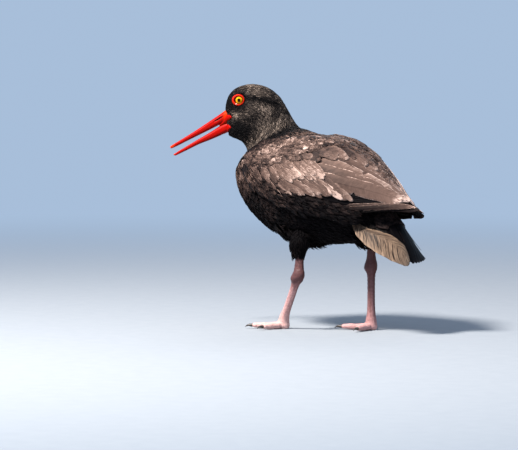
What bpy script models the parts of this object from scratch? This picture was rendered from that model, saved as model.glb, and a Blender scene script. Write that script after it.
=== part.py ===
"""A black oystercatcher as a still, life-size model, standing in mid-stride with its head turned to its left.

The bird faces -X, its left side is -Y and the floor is Z = 0. Lengths here are millimetres until a mesh
is made.
Head, neck and torso are one loft through shared sections. Wing and tail feathers are thin vanes laid on a
surface of their own and fused into the node that carries them.
"""
import bmesh
import bpy
import numpy as np
from math import cos, pi, radians, sin

# Driving dimensions
MM = 0.001
GAP = 0.3                       # clear space between neighbouring pieces
PLACE = (9.6, 6.4, 0.0)          # moves the bird so that its box is centred over the origin
HEAD_TURN = radians(38)         # how far the head looks to the bird's left
TURN_AXIS_X = -62.0             # the upright line through the neck that the head turns about
TURN_SPAN = (5.6, 10.6)         # sections over which the neck twists
BAR = 30                        # points round a body section

# Body sections from the face to the tail root, in the bird's middle plane before the head turns:
# back line x, z; breast or belly line x, z; half width; squareness (2 is an ellipse)
BODY = np.array([
    (-114.5, 226.0, -114.0, 213.0, 4.5, 2.0),
    (-113.8, 238.0, -112.5, 206.5, 8.0, 2.0),
    (-110.0, 248.0, -108.0, 203.0, 11.5, 2.1),
    (-101.5, 255.5, -102.5, 200.8, 15.5, 2.15),
    (-85.5, 259.0, -97.0, 198.0, 20.0, 2.2),
    (-69.0, 255.0, -93.0, 193.0, 22.0, 2.2),
    (-56.4, 245.0, -91.2, 188.2, 23.5, 2.1),
    (-49.4, 232.8, -91.5, 183.5, 26.0, 2.0),
    (-43.0, 221.3, -94.5, 178.5, 30.0, 2.0),
    (-36.5, 213.2, -99.5, 170.5, 36.0, 2.0),
    (-25.0, 210.5, -101.5, 157.5, 42.0, 2.0),
    (-11.0, 206.8, -94.5, 138.5, 47.0, 2.05),
    (4.0, 204.0, -76.5, 117.5, 50.0, 2.1),
    (20.5, 200.5, -47.5, 100.5, 51.5, 2.1),
    (38.5, 195.0, -13.5, 92.5, 50.5, 2.1),
    (56.5, 183.0, 20.0, 92.0, 45.0, 2.1),
    (72.5, 167.0, 46.0, 93.5, 35.0, 2.0),
    (84.0, 148.0, 63.0, 94.5, 23.0, 2.0),
    (91.5, 130.0, 75.0, 94.0, 15.5, 2.0),
    (95.5, 116.0, 85.0, 95.0, 10.5, 2.0),
    (96.5, 108.5, 91.0, 99.0, 5.5, 2.0),
])
HEAD_END, NECK_END = 6.4, 9.2   # where the head meets the neck, and the neck the torso
PARTING = 0.02                  # half the section step left open at each of those two joints

EYE_PLACE = (3.07, 60.0)       # section and angle from the crown line where the eye sits
EYE_RADIUS = 5.2
EYE_DEPTH = 2.9                 # how far the ball's middle lies inside the head's surface
RING_LIFT = 0.35
RING_RADII = (5.9, 5.55)
RING_TUBE = (1.0, 1.1)

# Bill sections from inside the face to the tip: top edge x, z; bottom edge x, z; half width; squareness
UPPER_BILL = np.array([
    (-102.0, 237.0, -103.0, 224.5, 7.0, 2.3),
    (-113.5, 231.8, -113.0, 219.6, 6.2, 2.4),
    (-121.0, 226.8, -121.0, 215.8, 5.1, 2.5),
    (-132.0, 219.3, -132.0, 210.2, 4.1, 2.5),
    (-144.5, 211.0, -144.5, 204.0, 3.4, 2.5),
    (-157.0, 203.1, -157.0, 197.8, 2.9, 2.5),
    (-166.5, 197.3, -166.5, 193.0, 2.4, 2.5),
    (-172.0, 193.9, -171.3, 190.8, 1.9, 2.4),
    (-174.2, 192.1, -173.4, 190.4, 1.2, 2.2),
])
LOWER_BILL = np.array([
    (-102.0, 223.5, -102.0, 208.6, 6.4, 2.3),
    (-113.0, 218.7, -113.0, 207.5, 5.9, 2.4),
    (-120.0, 214.9, -120.5, 204.1, 4.8, 2.5),
    (-132.0, 207.2, -131.0, 199.6, 3.7, 2.5),
    (-144.5, 199.9, -143.5, 194.7, 3.1, 2.5),
    (-156.0, 193.0, -155.0, 189.0, 2.6, 2.5),
    (-164.5, 187.9, -163.5, 184.9, 2.1, 2.5),
    (-169.0, 184.9, -168.2, 182.8, 1.6, 2.4),
    (-170.5, 184.0, -170.0, 183.0, 1.0, 2.2),
])
NOSTRIL = ((-126.5, 219.2), (-117.5, 224.6), 0.85, 1.6, 4.9)   # front, back, half height, depth, place across
MOUTH_LINE = ((-107.5, 225.0), (-118.0, 217.0), 0.6, (10.0, 4.0))     # corner, front, half height, inner ends

# Outer surface of the folded wings, in the same terms as the body sections
FOLDED = np.array([
    (-37.0, 213.8, -102.0, 171.5, 38.0, 2.0),
    (-24.0, 211.2, -105.0, 157.0, 45.0, 2.0),
    (-9.0, 209.2, -98.0, 135.0, 50.5, 2.0),
    (7.0, 207.4, -80.0, 113.0, 54.0, 2.1),
    (25.0, 204.0, -50.0, 95.0, 56.0, 2.1),
    (43.0, 198.5, -14.0, 87.0, 55.0, 2.1),
    (61.0, 187.5, 20.0, 84.0, 51.0, 2.1),
    (77.5, 174.0, 48.0, 84.0, 43.5, 2.0),
    (93.0, 159.5, 72.0, 89.0, 34.0, 2.0),
    (106.5, 146.5, 93.0, 98.0, 25.0, 2.0),
    (119.5, 137.5, 112.0, 108.0, 16.5, 2.0),
    (132.0, 132.0, 129.0, 117.0, 9.0, 2.0),
])
# Top line, bottom line (angles from the back line) and thickness of the wing at each of those sections
WING_EDGES = np.array([
    (70.0, 92.0, 7.0), (52.0, 97.0, 9.0), (38.0, 100.0, 9.5), (28.0, 99.0, 9.5), (17.0, 96.0, 9.5),
    (7.0, 93.0, 9.5), (3.0, 92.0, 9.0), (3.0, 94.0, 8.0), (4.0, 86.0, 5.0), (5.0, 74.0, 3.6),
    (7.0, 62.0, 3.0), (12.0, 56.0, 2.4),
])
CORE_SPAN = (0.5, 9.2)          # the solid wing under its feathers
CORE_SINK = 1.3                 # how far it lies under the outer surface
ROOM = 2.1                      # how far the cut for the torso lies outside it, corners and all
MIDLINE = 1.0                   # each wing keeps this far from the middle plane

# Rows of wing feathers. First and last feather of a row: root section and angle, tip section and angle;
# then how many, half width, rise of the tip over the outer surface, bow in degrees and points along a vane
WING_ROWS = {
    "primary": ((6.2, 82.0, 10.85, 34.0), (5.8, 68.0, 9.8, 36.0), 4, (6.0, 7.5), (-2.9, 0.0), 6.0, 5),
    "tertial": ((3.9, 70.0, 9.5, 32.0), (4.5, 20.0, 9.4, 14.0), 4, (10.0, 10.5), (0.5, 1.6), 5.0, 5),
    "greater": ((1.7, 86.0, 3.6, 97.0), (4.6, 54.0, 7.0, 74.0), 6, (9.0, 10.0), (0.4, 0.6), 0.0, 5),
    "median": ((1.0, 80.0, 2.6, 93.0), (3.7, 50.0, 5.5, 63.0), 6, (8.0, 9.0), (1.4, 1.8), 0.0, 5),
    "scapular": ((1.4, 65.0, 3.2, 66.0), (4.6, 24.0, 6.9, 20.0), 5, (9.5, 10.0), (1.8, 2.2), 2.0, 5),
    "shoulder": ((1.5, 53.0, 3.1, 47.0), (4.3, 13.0, 5.9, 10.0), 4, (10.0, 10.0), (2.4, 2.6), 0.0, 5),
}
VANE_OUTLINE = ((0, 0.45), (0.25, 0.85), (0.5, 1.0), (0.75, 0.95), (0.9, 0.68), (1.0, 0.2))
VANE_SUNK = -2.2                # how deep a root lies under the outer surface
VANE_THICK = (1.1, 0.6)         # at the root and towards the tip
VANE_TILT = 0.07                # how much the lower edge of each vane lies over its neighbour
FAR_WING_DROP = 6.0            # how much lower the tip of the right wing hangs
# Root, tip and bow of the lowest primary of the right wing, which hangs out below the others
FAR_PRIMARY = (5.4, 98.0, 10.7, 46.0, 16.0)

TAIL_ROOT = (57.5, 153.0)       # x, z of the hidden root of the middle feathers
TAIL_LENGTH = 104.0
TAIL_START = 28.0               # where the solid starts, inside the torso
TAIL_PITCH = (radians(30), radians(72))
TAIL_HALF_WIDTH = (20.0, 0.26, 0.0013)   # at the root, and how it grows with length and its square
TAIL_SINK = 1.0                 # how far the solid root lies under the feathers
TAIL_CORE_END = 50.0            # where the solid root ends and only feathers go on
TAIL_FEATHERS = 12
TAIL_VANE = 7.8                 # half width of a tail feather
TAIL_ARCH = (26.0, 3.0)         # how far the outer feathers hang below the ridge at the root and the tip

# Where each leg's knee, ankle and toe joint are, and the heading (degrees from straight ahead to the
# bird's left) and length of its inner, middle and outer toe
LEGS = {
    "left": {"knee": (-3.0, -30.0, 114.0), "ankle": (-1.0, -37.6, 59.5), "joint": (-33.0, -22.0, 9.5),
             "toes": ((-52, 28.0), (34, 34.0), (76, 29.0))},
    "right": {"knee": (52.0, 19.0, 116.0), "ankle": (50.0, 22.0, 70.0), "joint": (50.0, 22.0, 9.5),
              "toes": ((95, 29.0), (30, 32.0), (-60, 30.0))},
}
# Down the thigh to the ankle, then down the shank to the toe joint: fraction, half width, half depth
THIGH_SIZES = ((0.0, 9.0, 10.0), (0.2, 11.5, 13.0), (0.4, 8.6, 9.4), (0.6, 5.6, 5.8), (0.76, 4.5, 4.6),
               (0.9, 4.9, 5.4))
SHANK_SIZES = ((0.0, 5.9, 6.6), (0.1, 5.3, 5.9), (0.22, 3.9, 3.9), (0.55, 3.6, 3.6), (0.8, 3.8, 3.9),
               (0.93, 4.7, 4.7))
HEEL_SIZES = ((0.35, 5.8, 6.0), (0.7, 5.9, 6.2), (1.08, 4.2, 4.4))     # from the toe joint to the ground
ANKLE_CUT = 6.25                # place along those rows where the thigh ends and the shank starts
JOINT_CUT = 10.8                # and where the shank ends and the foot starts
LEG_PARTING = 0.03              # half the step left open at each of those two joints
TOE_RADIUS = 3.8
CLAW_LENGTH = 6.5
CLAW_RADIUS = 2.0

PLUMAGE_BLACK = ((0.018, 0.016, 0.016), 0.7)
PLUMAGE_BROWN = ((0.055, 0.042, 0.034), 0.65)
BILL_RED = ((0.72, 0.06, 0.02), 0.35)
RING_RED = ((0.75, 0.07, 0.02), 0.5)
IRIS_YELLOW = ((0.80, 0.50, 0.02), 0.15)
LEG_PINK = ((0.58, 0.36, 0.32), 0.55)
CLAW_DARK = ((0.03, 0.025, 0.025), 0.4)


def clear_scene():
    for found in list(bpy.data.objects):
        bpy.data.objects.remove(found, do_unlink=True)


def along(rows, u):
    """Smooth curve through the rows of a table, read at the places u, where row 0 is u = 0."""
    u = np.asarray(u, float)
    last = len(rows) - 1
    i = np.clip(np.floor(u).astype(int), 0, last - 1)
    f = (u - i)[..., None]
    a, b = rows[np.maximum(i - 1, 0)], rows[i]
    c, d = rows[i + 1], rows[np.minimum(i + 2, last)]
    return 0.5 * (2 * b + (c - a) * f + (2 * a - 5 * b + 4 * c - d) * f**2 + (3 * b - a - 3 * c + d) * f**3)


def section_point(rows, u, v):
    """The point of a lofted body at section u and angle v from its back line, positive to the bird's left."""
    s = along(rows, u)
    top, low = s[..., 0:2], s[..., 2:4]
    centre, reach = (top + low) / 2, (top - low) / 2
    c, w, power = np.cos(v), np.sin(v), s[..., 5]
    size = (np.abs(c) ** power + np.abs(w) ** power) ** (-1 / power)
    x = centre[..., 0] + reach[..., 0] * c * size
    z = centre[..., 1] + reach[..., 1] * c * size
    return np.stack([x, -s[..., 4] * w * size, z], axis=-1)


def turned(points, u):
    """Turns points about the neck's upright line: fully on the head, not at all behind the neck."""
    f = np.clip((TURN_SPAN[1] - np.asarray(u, float)) / (TURN_SPAN[1] - TURN_SPAN[0]), 0, 1)
    angle = HEAD_TURN * f * f * (3 - 2 * f)
    x, y = points[..., 0] - TURN_AXIS_X, points[..., 1]
    c, s = np.cos(angle), np.sin(angle)
    return np.stack([TURN_AXIS_X + c * x - s * y, s * x + c * y, points[..., 2] + 0 * x], axis=-1)


def body_point(u, v):
    return turned(section_point(BODY, u, v), u)


def material(name, look):
    colour, roughness = look
    made = bpy.data.materials.get(name) or bpy.data.materials.new(name)
    made.use_nodes = True
    shader = made.node_tree.nodes["Principled BSDF"]
    shader.inputs["Base Color"].default_value = (*colour, 1)
    shader.inputs["Roughness"].default_value = roughness
    shader.inputs["Metallic"].default_value = 0.0
    return made


def add_object(name, points, faces, look_name, look):
    """A named object from points in millimetres, moved to its place."""
    mesh = bpy.data.meshes.new(name)
    placed = (np.asarray(points, float).reshape(-1, 3) + PLACE) * MM
    mesh.from_pydata(placed.tolist(), [], [tuple(int(k) for k in face) for face in faces])
    mesh.update()
    mesh.materials.append(material(look_name, look))
    made = bpy.data.objects.new(name, mesh)
    bpy.context.scene.collection.objects.link(made)
    return made


def ring_faces(rings, count):
    """Quads between closed rings of points, and a fan from a middle point over each end."""
    faces = []
    for r in range(rings - 1):
        for k in range(count):
            a, b = r * count + k, r * count + (k + 1) % count
            faces.append((a, b, b + count, a + count))
    first, last = rings * count, rings * count + 1
    for k in range(count):
        faces.append((first, (k + 1) % count, k))
        base = (rings - 1) * count
        faces.append((last, base + k, base + (k + 1) % count))
    return faces


def closed_loft(name, rings, look_name, look):
    """A closed solid through rings of points, array (rings, points, 3), with a fan over each end."""
    rings = np.asarray(rings, float)
    ends = np.stack([rings[0].mean(axis=0), rings[-1].mean(axis=0)])
    points = np.concatenate([rings.reshape(-1, 3), ends])
    made = add_object(name, points, ring_faces(len(rings), rings.shape[1]), look_name, look)
    face_outwards(made)
    return made


def face_outwards(made):
    """Turns the faces outwards and, if the whole is inside out, flips it."""
    work = bmesh.new()
    work.from_mesh(made.data)
    bmesh.ops.recalc_face_normals(work, faces=work.faces)
    if work.calc_volume(signed=True) < 0:
        bmesh.ops.reverse_faces(work, faces=work.faces)
    work.to_mesh(made.data)
    work.free()


def round_sections(centres, widths, heights, side, count, way=None):
    """Rings along a line of centres: each an ellipse across the line, its width along side."""
    centres = np.asarray(centres, float)
    if way is None:
        way = np.gradient(centres, axis=0)
    way /= np.linalg.norm(way, axis=1)[:, None]
    side = np.asarray(side, float) - way * (way @ np.asarray(side, float))[:, None]
    side /= np.linalg.norm(side, axis=1)[:, None]
    up = np.cross(way, side)
    v = np.linspace(0, 2 * pi, count, endpoint=False)
    wide = np.asarray(widths, float)[:, None, None] * side[:, None] * np.cos(v)[None, :, None]
    high = np.asarray(heights, float)[:, None, None] * up[:, None] * np.sin(v)[None, :, None]
    return centres[:, None] + wide + high


def boolean(made, operation, other, solver="EXACT"):
    """Joins a mesh with an object or with every object of a collection, or cuts it by them."""
    step = made.modifiers.new(operation.lower(), "BOOLEAN")
    step.operation = operation
    step.solver = solver
    if isinstance(other, bpy.types.Collection):
        step.operand_type = "COLLECTION"
        step.collection = other
    else:
        step.object = other
    graph = bpy.context.evaluated_depsgraph_get()
    result = bpy.data.meshes.new_from_object(made.evaluated_get(graph))
    made.modifiers.clear()
    made.data = result


def keep_largest(made):
    """Keeps the largest closed surface of a mesh and drops loose scraps and sealed hollows."""
    work = bmesh.new()
    work.from_mesh(made.data)
    left, pieces = set(work.faces), []
    while left:
        piece, reached = set(), [left.pop()]
        while reached:
            face = reached.pop()
            piece.add(face)
            near = {n for edge in face.edges for n in edge.link_faces} & left
            left -= near
            reached.extend(near)
        pieces.append(piece)
    pieces.sort(key=len, reverse=True)
    for piece in pieces[1:]:
        bmesh.ops.delete(work, geom=list(piece), context="FACES")
    work.to_mesh(made.data)
    work.free()


def grown(source, name, by):
    """A copy of a solid with every point moved out along its normal, used as a cutter."""
    copy = source.copy()
    copy.data = source.data.copy()
    copy.name = name
    bpy.context.scene.collection.objects.link(copy)
    normals = [v.normal.copy() for v in copy.data.vertices]
    for vertex, normal in zip(copy.data.vertices, normals):
        vertex.co += normal * by * MM
    copy.hide_render = True
    copy.display_type = "WIRE"
    return copy


def build_body():
    """Head, neck and torso as three lengths of one loft, each with flat ends."""
    v = np.linspace(0, 2 * pi, BAR, endpoint=False)
    spans = {
        "head": (np.linspace(0, HEAD_END - PARTING, 13), "plumage_black", PLUMAGE_BLACK),
        "neck": (np.linspace(HEAD_END + PARTING, NECK_END - PARTING, 6), "plumage_black", PLUMAGE_BLACK),
        "torso": (np.linspace(NECK_END + PARTING, len(BODY) - 1, 17), "plumage_brown", PLUMAGE_BROWN),
    }
    made = {}
    for name, (u, look_name, look) in spans.items():
        rings = body_point(u[:, None] + 0 * v, v + 0 * u[:, None])
        made[name] = closed_loft(name, rings, look_name, look)
    return made


def eye_frame(side):
    """Place on the head's surface and the directions out, forward and up of one eye; side 1 is the left."""
    u, v, step = EYE_PLACE[0], side * radians(EYE_PLACE[1]), 0.02
    place = body_point(u, v)
    forward = body_point(u - step, v) - place
    across = body_point(u, v + step) - place
    out = np.cross(across, forward)
    lateral = body_point(u, side * pi / 2) - body_point(u, -side * pi / 2)
    out *= np.sign(out @ lateral)
    out = out / np.linalg.norm(out) + lateral / np.linalg.norm(lateral)
    out /= np.linalg.norm(out)
    face = turned(np.array([-1.0 + TURN_AXIS_X, 0, 0]), 0) - turned(np.array([TURN_AXIS_X, 0.0, 0]), 0)
    forward = face - out * (out @ face)
    forward /= np.linalg.norm(forward)
    up = np.cross(out, forward)
    return place, out, forward, up * np.sign(up[2])


def ring_rings(side, extra):
    """The fleshy eye ring as rings of points round its own tube, grown by extra."""
    place, out, forward, up = eye_frame(side)
    centre = place + out * RING_LIFT
    around = np.linspace(0, 2 * pi, 18, endpoint=False)
    tube = np.linspace(0, 2 * pi, 6, endpoint=False)
    long, tall = RING_RADII
    spoke = np.cos(around)[:, None] * forward + np.sin(around)[:, None] * up
    reach = np.cos(around)[:, None] * forward * long + np.sin(around)[:, None] * up * tall
    wide = (RING_TUBE[0] + extra) * np.cos(tube)[None, :, None] * spoke[:, None]
    high = (RING_TUBE[1] + extra) * np.sin(tube)[None, :, None] * out
    return centre + reach[:, None] + wide + high


def closed_ring(name, rings, look_name, look):
    """A closed ring-shaped solid through rings of points that run once round it."""
    count, points = rings.shape[0], rings.shape[1]
    faces = []
    for r in range(count):
        for k in range(points):
            a, b = r * points + k, r * points + (k + 1) % points
            c, d = (r + 1) % count * points + (k + 1) % points, (r + 1) % count * points + k
            faces.append((a, b, c, d))
    made = add_object(name, rings.reshape(-1, 3), faces, look_name, look)
    face_outwards(made)
    return made


def ball(name, centre, radius, pole, look_name, look, rings=7, count=14):
    """A round ball whose poles lie along one direction."""
    pole = np.asarray(pole, float)
    side = np.cross(pole, (0.3, 0.2, 1.0))
    side /= np.linalg.norm(side)
    other = np.cross(pole, side)
    t = np.linspace(0, pi, rings + 2)[1:-1]
    v = np.linspace(0, 2 * pi, count, endpoint=False)
    spoke = np.cos(v)[:, None] * side + np.sin(v)[:, None] * other
    shells = np.sin(t)[:, None, None] * spoke + np.cos(t)[:, None, None] * pole
    points = np.concatenate([shells.reshape(-1, 3), [pole, -pole]]) * radius + centre
    made = add_object(name, points, ring_faces(rings, count), look_name, look)
    face_outwards(made)
    return made


def cutter(made):
    made.hide_render = True
    made.display_type = "WIRE"
    return made


def build_eyes(head):
    """Both eyeballs and their rings, with the sockets that they sit in cut into the head."""
    for side, name in ((1, "left"), (-1, "right")):
        place, out, _, _ = eye_frame(side)
        centre = place - out * EYE_DEPTH
        ball("eye_" + name, centre, EYE_RADIUS, out, "iris_yellow", IRIS_YELLOW)
        closed_ring("eye_ring_" + name, ring_rings(side, 0), "ring_red", RING_RED)
        room = cutter(ball("socket_" + name, centre, EYE_RADIUS + GAP, out, "iris_yellow", IRIS_YELLOW))
        groove = cutter(closed_ring("groove_" + name, ring_rings(side, GAP), "ring_red", RING_RED))
        boolean(head, "DIFFERENCE", room)
        boolean(head, "DIFFERENCE", groove, "MANIFOLD")
        for tool in (room, groove):
            bpy.data.objects.remove(tool, do_unlink=True)
    keep_largest(head)


def mandible(name, rows):
    """One half of the bill, lofted through its own sections from inside the face to a blunt tip."""
    u = np.linspace(0, len(rows) - 1, 12)
    v = np.linspace(0, 2 * pi, 12, endpoint=False)
    rings = turned(section_point(rows, u[:, None] + 0 * v, v + 0 * u[:, None]), 0)
    return closed_loft(name, rings, "bill_red", BILL_RED)


def build_bill(head):
    """Two parted mandibles cut back from the face, a slit nostril each side and the line of the mouth."""
    upper = mandible("bill_upper", UPPER_BILL)
    lower = mandible("bill_lower", LOWER_BILL)
    face = grown(head, "face_room", GAP)
    for half in (upper, lower):
        boolean(half, "DIFFERENCE", face)
        keep_largest(half)
    bpy.data.objects.remove(face, do_unlink=True)
    for side in (1, -1):
        slit, mouth = cutter(nostril(side)), cutter(mouth_groove(side))
        boolean(upper, "DIFFERENCE", slit, "MANIFOLD")
        boolean(head, "DIFFERENCE", mouth, "MANIFOLD")
        for tool in (slit, mouth):
            bpy.data.objects.remove(tool, do_unlink=True)
    for piece in (upper, head):
        keep_largest(piece)


def nostril(side):
    """A long narrow lens sunk into the side of the upper mandible."""
    front, back, half_height, depth, reach = NOSTRIL
    t = np.linspace(0, 1, 7)[1:-1]
    line = np.array(front)[None, :] * (1 - t)[:, None] + np.array(back)[None, :] * t[:, None]
    centres = np.stack([line[:, 0], np.full(len(t), -side * reach), line[:, 1]], axis=1)
    size = np.sqrt(1 - (2 * t - 1) ** 2)
    rings = round_sections(centres, depth * np.ones(len(t)), half_height * size, (0, 1, 0), 8)
    return closed_loft("nostril", turned(rings, 0), "bill_red", BILL_RED)


def mouth_groove(side):
    """A thin blade that sinks the line of the mouth into one side of the face."""
    corner, front, half_height, inner = MOUTH_LINE
    way = np.array([front[0] - corner[0], 0, front[1] - corner[1]])
    up = np.cross((0, 1, 0), way / np.linalg.norm(way))
    rings = []
    for f, reach, high in ((0.0, inner[0], 0.1), (1.0, inner[1], half_height)):
        place = np.array([corner[0], 0, corner[1]]) + way * f
        corners = ((reach, -high), (16.0, -high), (16.0, high), (reach, high))
        rings.append([place + (0, -side * y, 0) + up * h for y, h in corners])
    return closed_loft("mouth", turned(np.array(rings), 0), "bill_red", BILL_RED)


def wing_surface(u, v):
    """A point on the outer surface of the folded wings, at a section and an angle from the back line."""
    return section_point(FOLDED, u, v)


def wing_normal(u, v):
    """The direction straight out of the folded wing's surface."""
    step = 0.01
    along_u = wing_surface(u + step, v) - wing_surface(u - step, v)
    along_v = wing_surface(u, v + step) - wing_surface(u, v - step)
    out = np.cross(along_u, along_v)
    out /= np.linalg.norm(out, axis=-1)[..., None]
    outward = wing_surface(u, v) - wing_surface(u, v + pi)
    return out * np.sign((out * outward).sum(axis=-1))[..., None]


def settled(points, side):
    """Moves points of the left wing onto their own side; the right one hangs lower towards its tip."""
    points = points * (1, side, 1)
    if side == -1:
        fall = np.clip((points[..., 0] - 60.0) / 70.0, 0, 1) ** 2
        points[..., 2] -= FAR_WING_DROP * fall
    return points


def shell(name, outer, inner, look_name, look):
    """A closed solid between two grids of points with the same layout, alike in both faces."""
    rows, columns = outer.shape[0], outer.shape[1]
    points = np.concatenate([outer.reshape(-1, 3), inner.reshape(-1, 3)])
    base = rows * columns
    faces = []
    for r in range(rows - 1):
        for c in range(columns - 1):
            a, b = r * columns + c, r * columns + c + 1
            d, e = a + columns, b + columns
            faces += [(a, b, e), (a, e, d), (base + a, base + e, base + b), (base + a, base + d, base + e)]
    rim = [(0, c) for c in range(columns)] + [(r, columns - 1) for r in range(1, rows)]
    rim += [(rows - 1, c) for c in range(columns - 2, -1, -1)] + [(r, 0) for r in range(rows - 2, 0, -1)]
    rim = [r * columns + c for r, c in rim]
    for k, a in enumerate(rim):
        b = rim[(k + 1) % len(rim)]
        faces += [(a, base + a, base + b), (a, base + b, b)]
    made = add_object(name, points, faces, look_name, look)
    face_outwards(made)
    return made


def wing_place(u, degrees):
    return wing_surface(u, np.radians(degrees))


def wing_out(u, degrees):
    return wing_normal(u, np.radians(degrees))


def wing_core(side):
    """The solid part of a folded wing: a shell under its outer surface, thin towards its rim."""
    u = np.linspace(CORE_SPAN[0], CORE_SPAN[1], 12)
    edge = along(WING_EDGES, u)
    t = np.linspace(0, 1, 7)
    v = np.radians(edge[:, :1] + (edge[:, 1:2] - edge[:, :1]) * t)
    uu = u[:, None] + 0 * v
    rim = np.minimum(1, 3.0 * np.minimum(t, 1 - t) + 0.25)[None, :]
    end = np.minimum(1, 0.35 + 4 * np.minimum(u - u[0], u[-1] - u) / (u[-1] - u[0]))[:, None]
    depth = edge[:, 2:3] * rim * end
    surface, out = wing_surface(uu, v), wing_normal(uu, v)
    outer = settled(surface - out * CORE_SINK, side)
    inner = settled(surface - out * (CORE_SINK + depth[..., None]), side)
    return shell("wing_" + ("left" if side == 1 else "right"), outer, inner, "wing_brown", PLUMAGE_BROWN)


def vane(name, place, out_of, root, tip, half_width, rise, tilt, bow, rows, finish):
    """One feather as a thin closed vane on a surface.

    Its middle line runs from root to tip in the surface's own two directions, bent by bow. Across it three
    points keep a low ridge at the shaft. It leaves the surface from below and reaches its rise at the tip.
    """
    t = np.linspace(0, 1, rows) ** 0.85
    u = root[0] + (tip[0] - root[0]) * t
    v = root[1] + (tip[1] - root[1]) * t + bow * np.sin(pi * t)
    e = 0.01
    ahead = place(u + e * (tip[0] - root[0]), v + e * (tip[1] - root[1])) - place(u, v)
    out = out_of(u, v)
    per_u = (place(u + e, v) - place(u - e, v)) / (2 * e)
    per_v = (place(u, v + e) - place(u, v - e)) / (2 * e)
    side = np.cross(ahead, out)
    side /= np.linalg.norm(side, axis=1)[:, None]
    side *= np.sign((side * per_v).sum(axis=1))[:, None]
    uu, uv, vv = (per_u**2).sum(1), (per_u * per_v).sum(1), (per_v**2).sum(1)
    su, sv = (per_u * side).sum(1), (per_v * side).sum(1)
    du = (vv * su - uv * sv) / (uu * vv - uv**2)
    dv = (uu * sv - uv * su) / (uu * vv - uv**2)
    width = half_width * np.interp(t, *zip(*VANE_OUTLINE))
    c = np.array([-1.0, 0.0, 1.0])
    qu = u[:, None] + (du * width)[:, None] * c
    qv = v[:, None] + (dv * width)[:, None] * c
    height = np.interp(t, (0, 0.3, 1), (VANE_SUNK, rise * 0.6 - 0.3, rise))[:, None]
    height = height + tilt * width[:, None] * c - 0.25 * c**2
    thick = VANE_THICK[0] + (VANE_THICK[1] - VANE_THICK[0]) * np.minimum(1, 2 * t)
    thick = thick[:, None] * (1 - 0.2 * c**2)
    surface, normal = place(qu, qv), out_of(qu, qv)
    top = surface + normal * height[..., None]
    low = surface + normal * (height - thick)[..., None]
    return shell(name, finish(top), finish(low), "wing_brown", PLUMAGE_BROWN)


def fuse(made, pieces):
    """Joins pieces to a solid in one union, removes them and keeps the largest closed surface."""
    group = bpy.data.collections.new("pieces")
    for piece in pieces:
        bpy.context.scene.collection.objects.unlink(piece)
        group.objects.link(piece)
    boolean(made, "UNION", group, "MANIFOLD")
    for piece in pieces:
        bpy.data.objects.remove(piece, do_unlink=True)
    bpy.data.collections.remove(group)
    keep_largest(made)


def wing_feathers(side):
    """All the vanes of one wing, row by row, each a little unlike the next."""
    draw = np.random.default_rng(11 + side)
    pieces = []
    for row, (first, last, count, widths, rises, bow, rows) in WING_ROWS.items():
        for k in range(count):
            f = k / (count - 1)
            place = np.array(first) * (1 - f) + np.array(last) * f
            place[2:] += draw.uniform(-1, 1, 2) * (0.06, 0.8)
            half = widths[0] * (1 - f) + widths[1] * f
            rise = rises[0] * (1 - f) + rises[1] * f
            bend = bow
            if row == "primary" and side == -1:
                hang = max(0, 1 - k / 2)
                place = place * (1 - hang) + np.array(FAR_PRIMARY[:4]) * hang
                bend = bow * (1 - hang) + FAR_PRIMARY[4] * hang
            line = MIDLINE + 0.3 * MIDLINE * (len(pieces) % 3)

            def finish(points, line=line):
                kept = points.copy()
                kept[..., 1] = np.minimum(kept[..., 1], -line)
                return settled(kept, side)

            pieces.append(vane("%s_%d" % (row, k), wing_place, wing_out, place[:2], place[2:], half, rise,
                               VANE_TILT, bend, rows, finish))
    return pieces


def tail_surface(s, across):
    """A point of the tail: s along it from the hidden root, across from -1 at its right edge to 1."""
    turn = (TAIL_PITCH[1] - TAIL_PITCH[0]) / TAIL_LENGTH
    pitch = TAIL_PITCH[0] + turn * s
    x = TAIL_ROOT[0] + (np.sin(pitch) - sin(TAIL_PITCH[0])) / turn
    z = TAIL_ROOT[1] + (np.cos(pitch) - cos(TAIL_PITCH[0])) / turn
    f = s / TAIL_LENGTH
    hang = (TAIL_ARCH[0] * (1 - f**2) + TAIL_ARCH[1]) * across**2
    half = TAIL_HALF_WIDTH[0] + TAIL_HALF_WIDTH[1] * s - TAIL_HALF_WIDTH[2] * s**2
    return np.stack([x - hang * np.sin(pitch), -across * half, z - hang * np.cos(pitch)], axis=-1)


def tail_normal(s, across):
    """The direction out of the tail's upper side."""
    way = tail_surface(s + 0.5, across) - tail_surface(s - 0.5, across)
    side = tail_surface(s, across - 0.01) - tail_surface(s, across + 0.01)
    out = np.cross(way, side)
    out /= np.linalg.norm(out, axis=-1)[..., None]
    return out * np.sign(out[..., :1])


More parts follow.
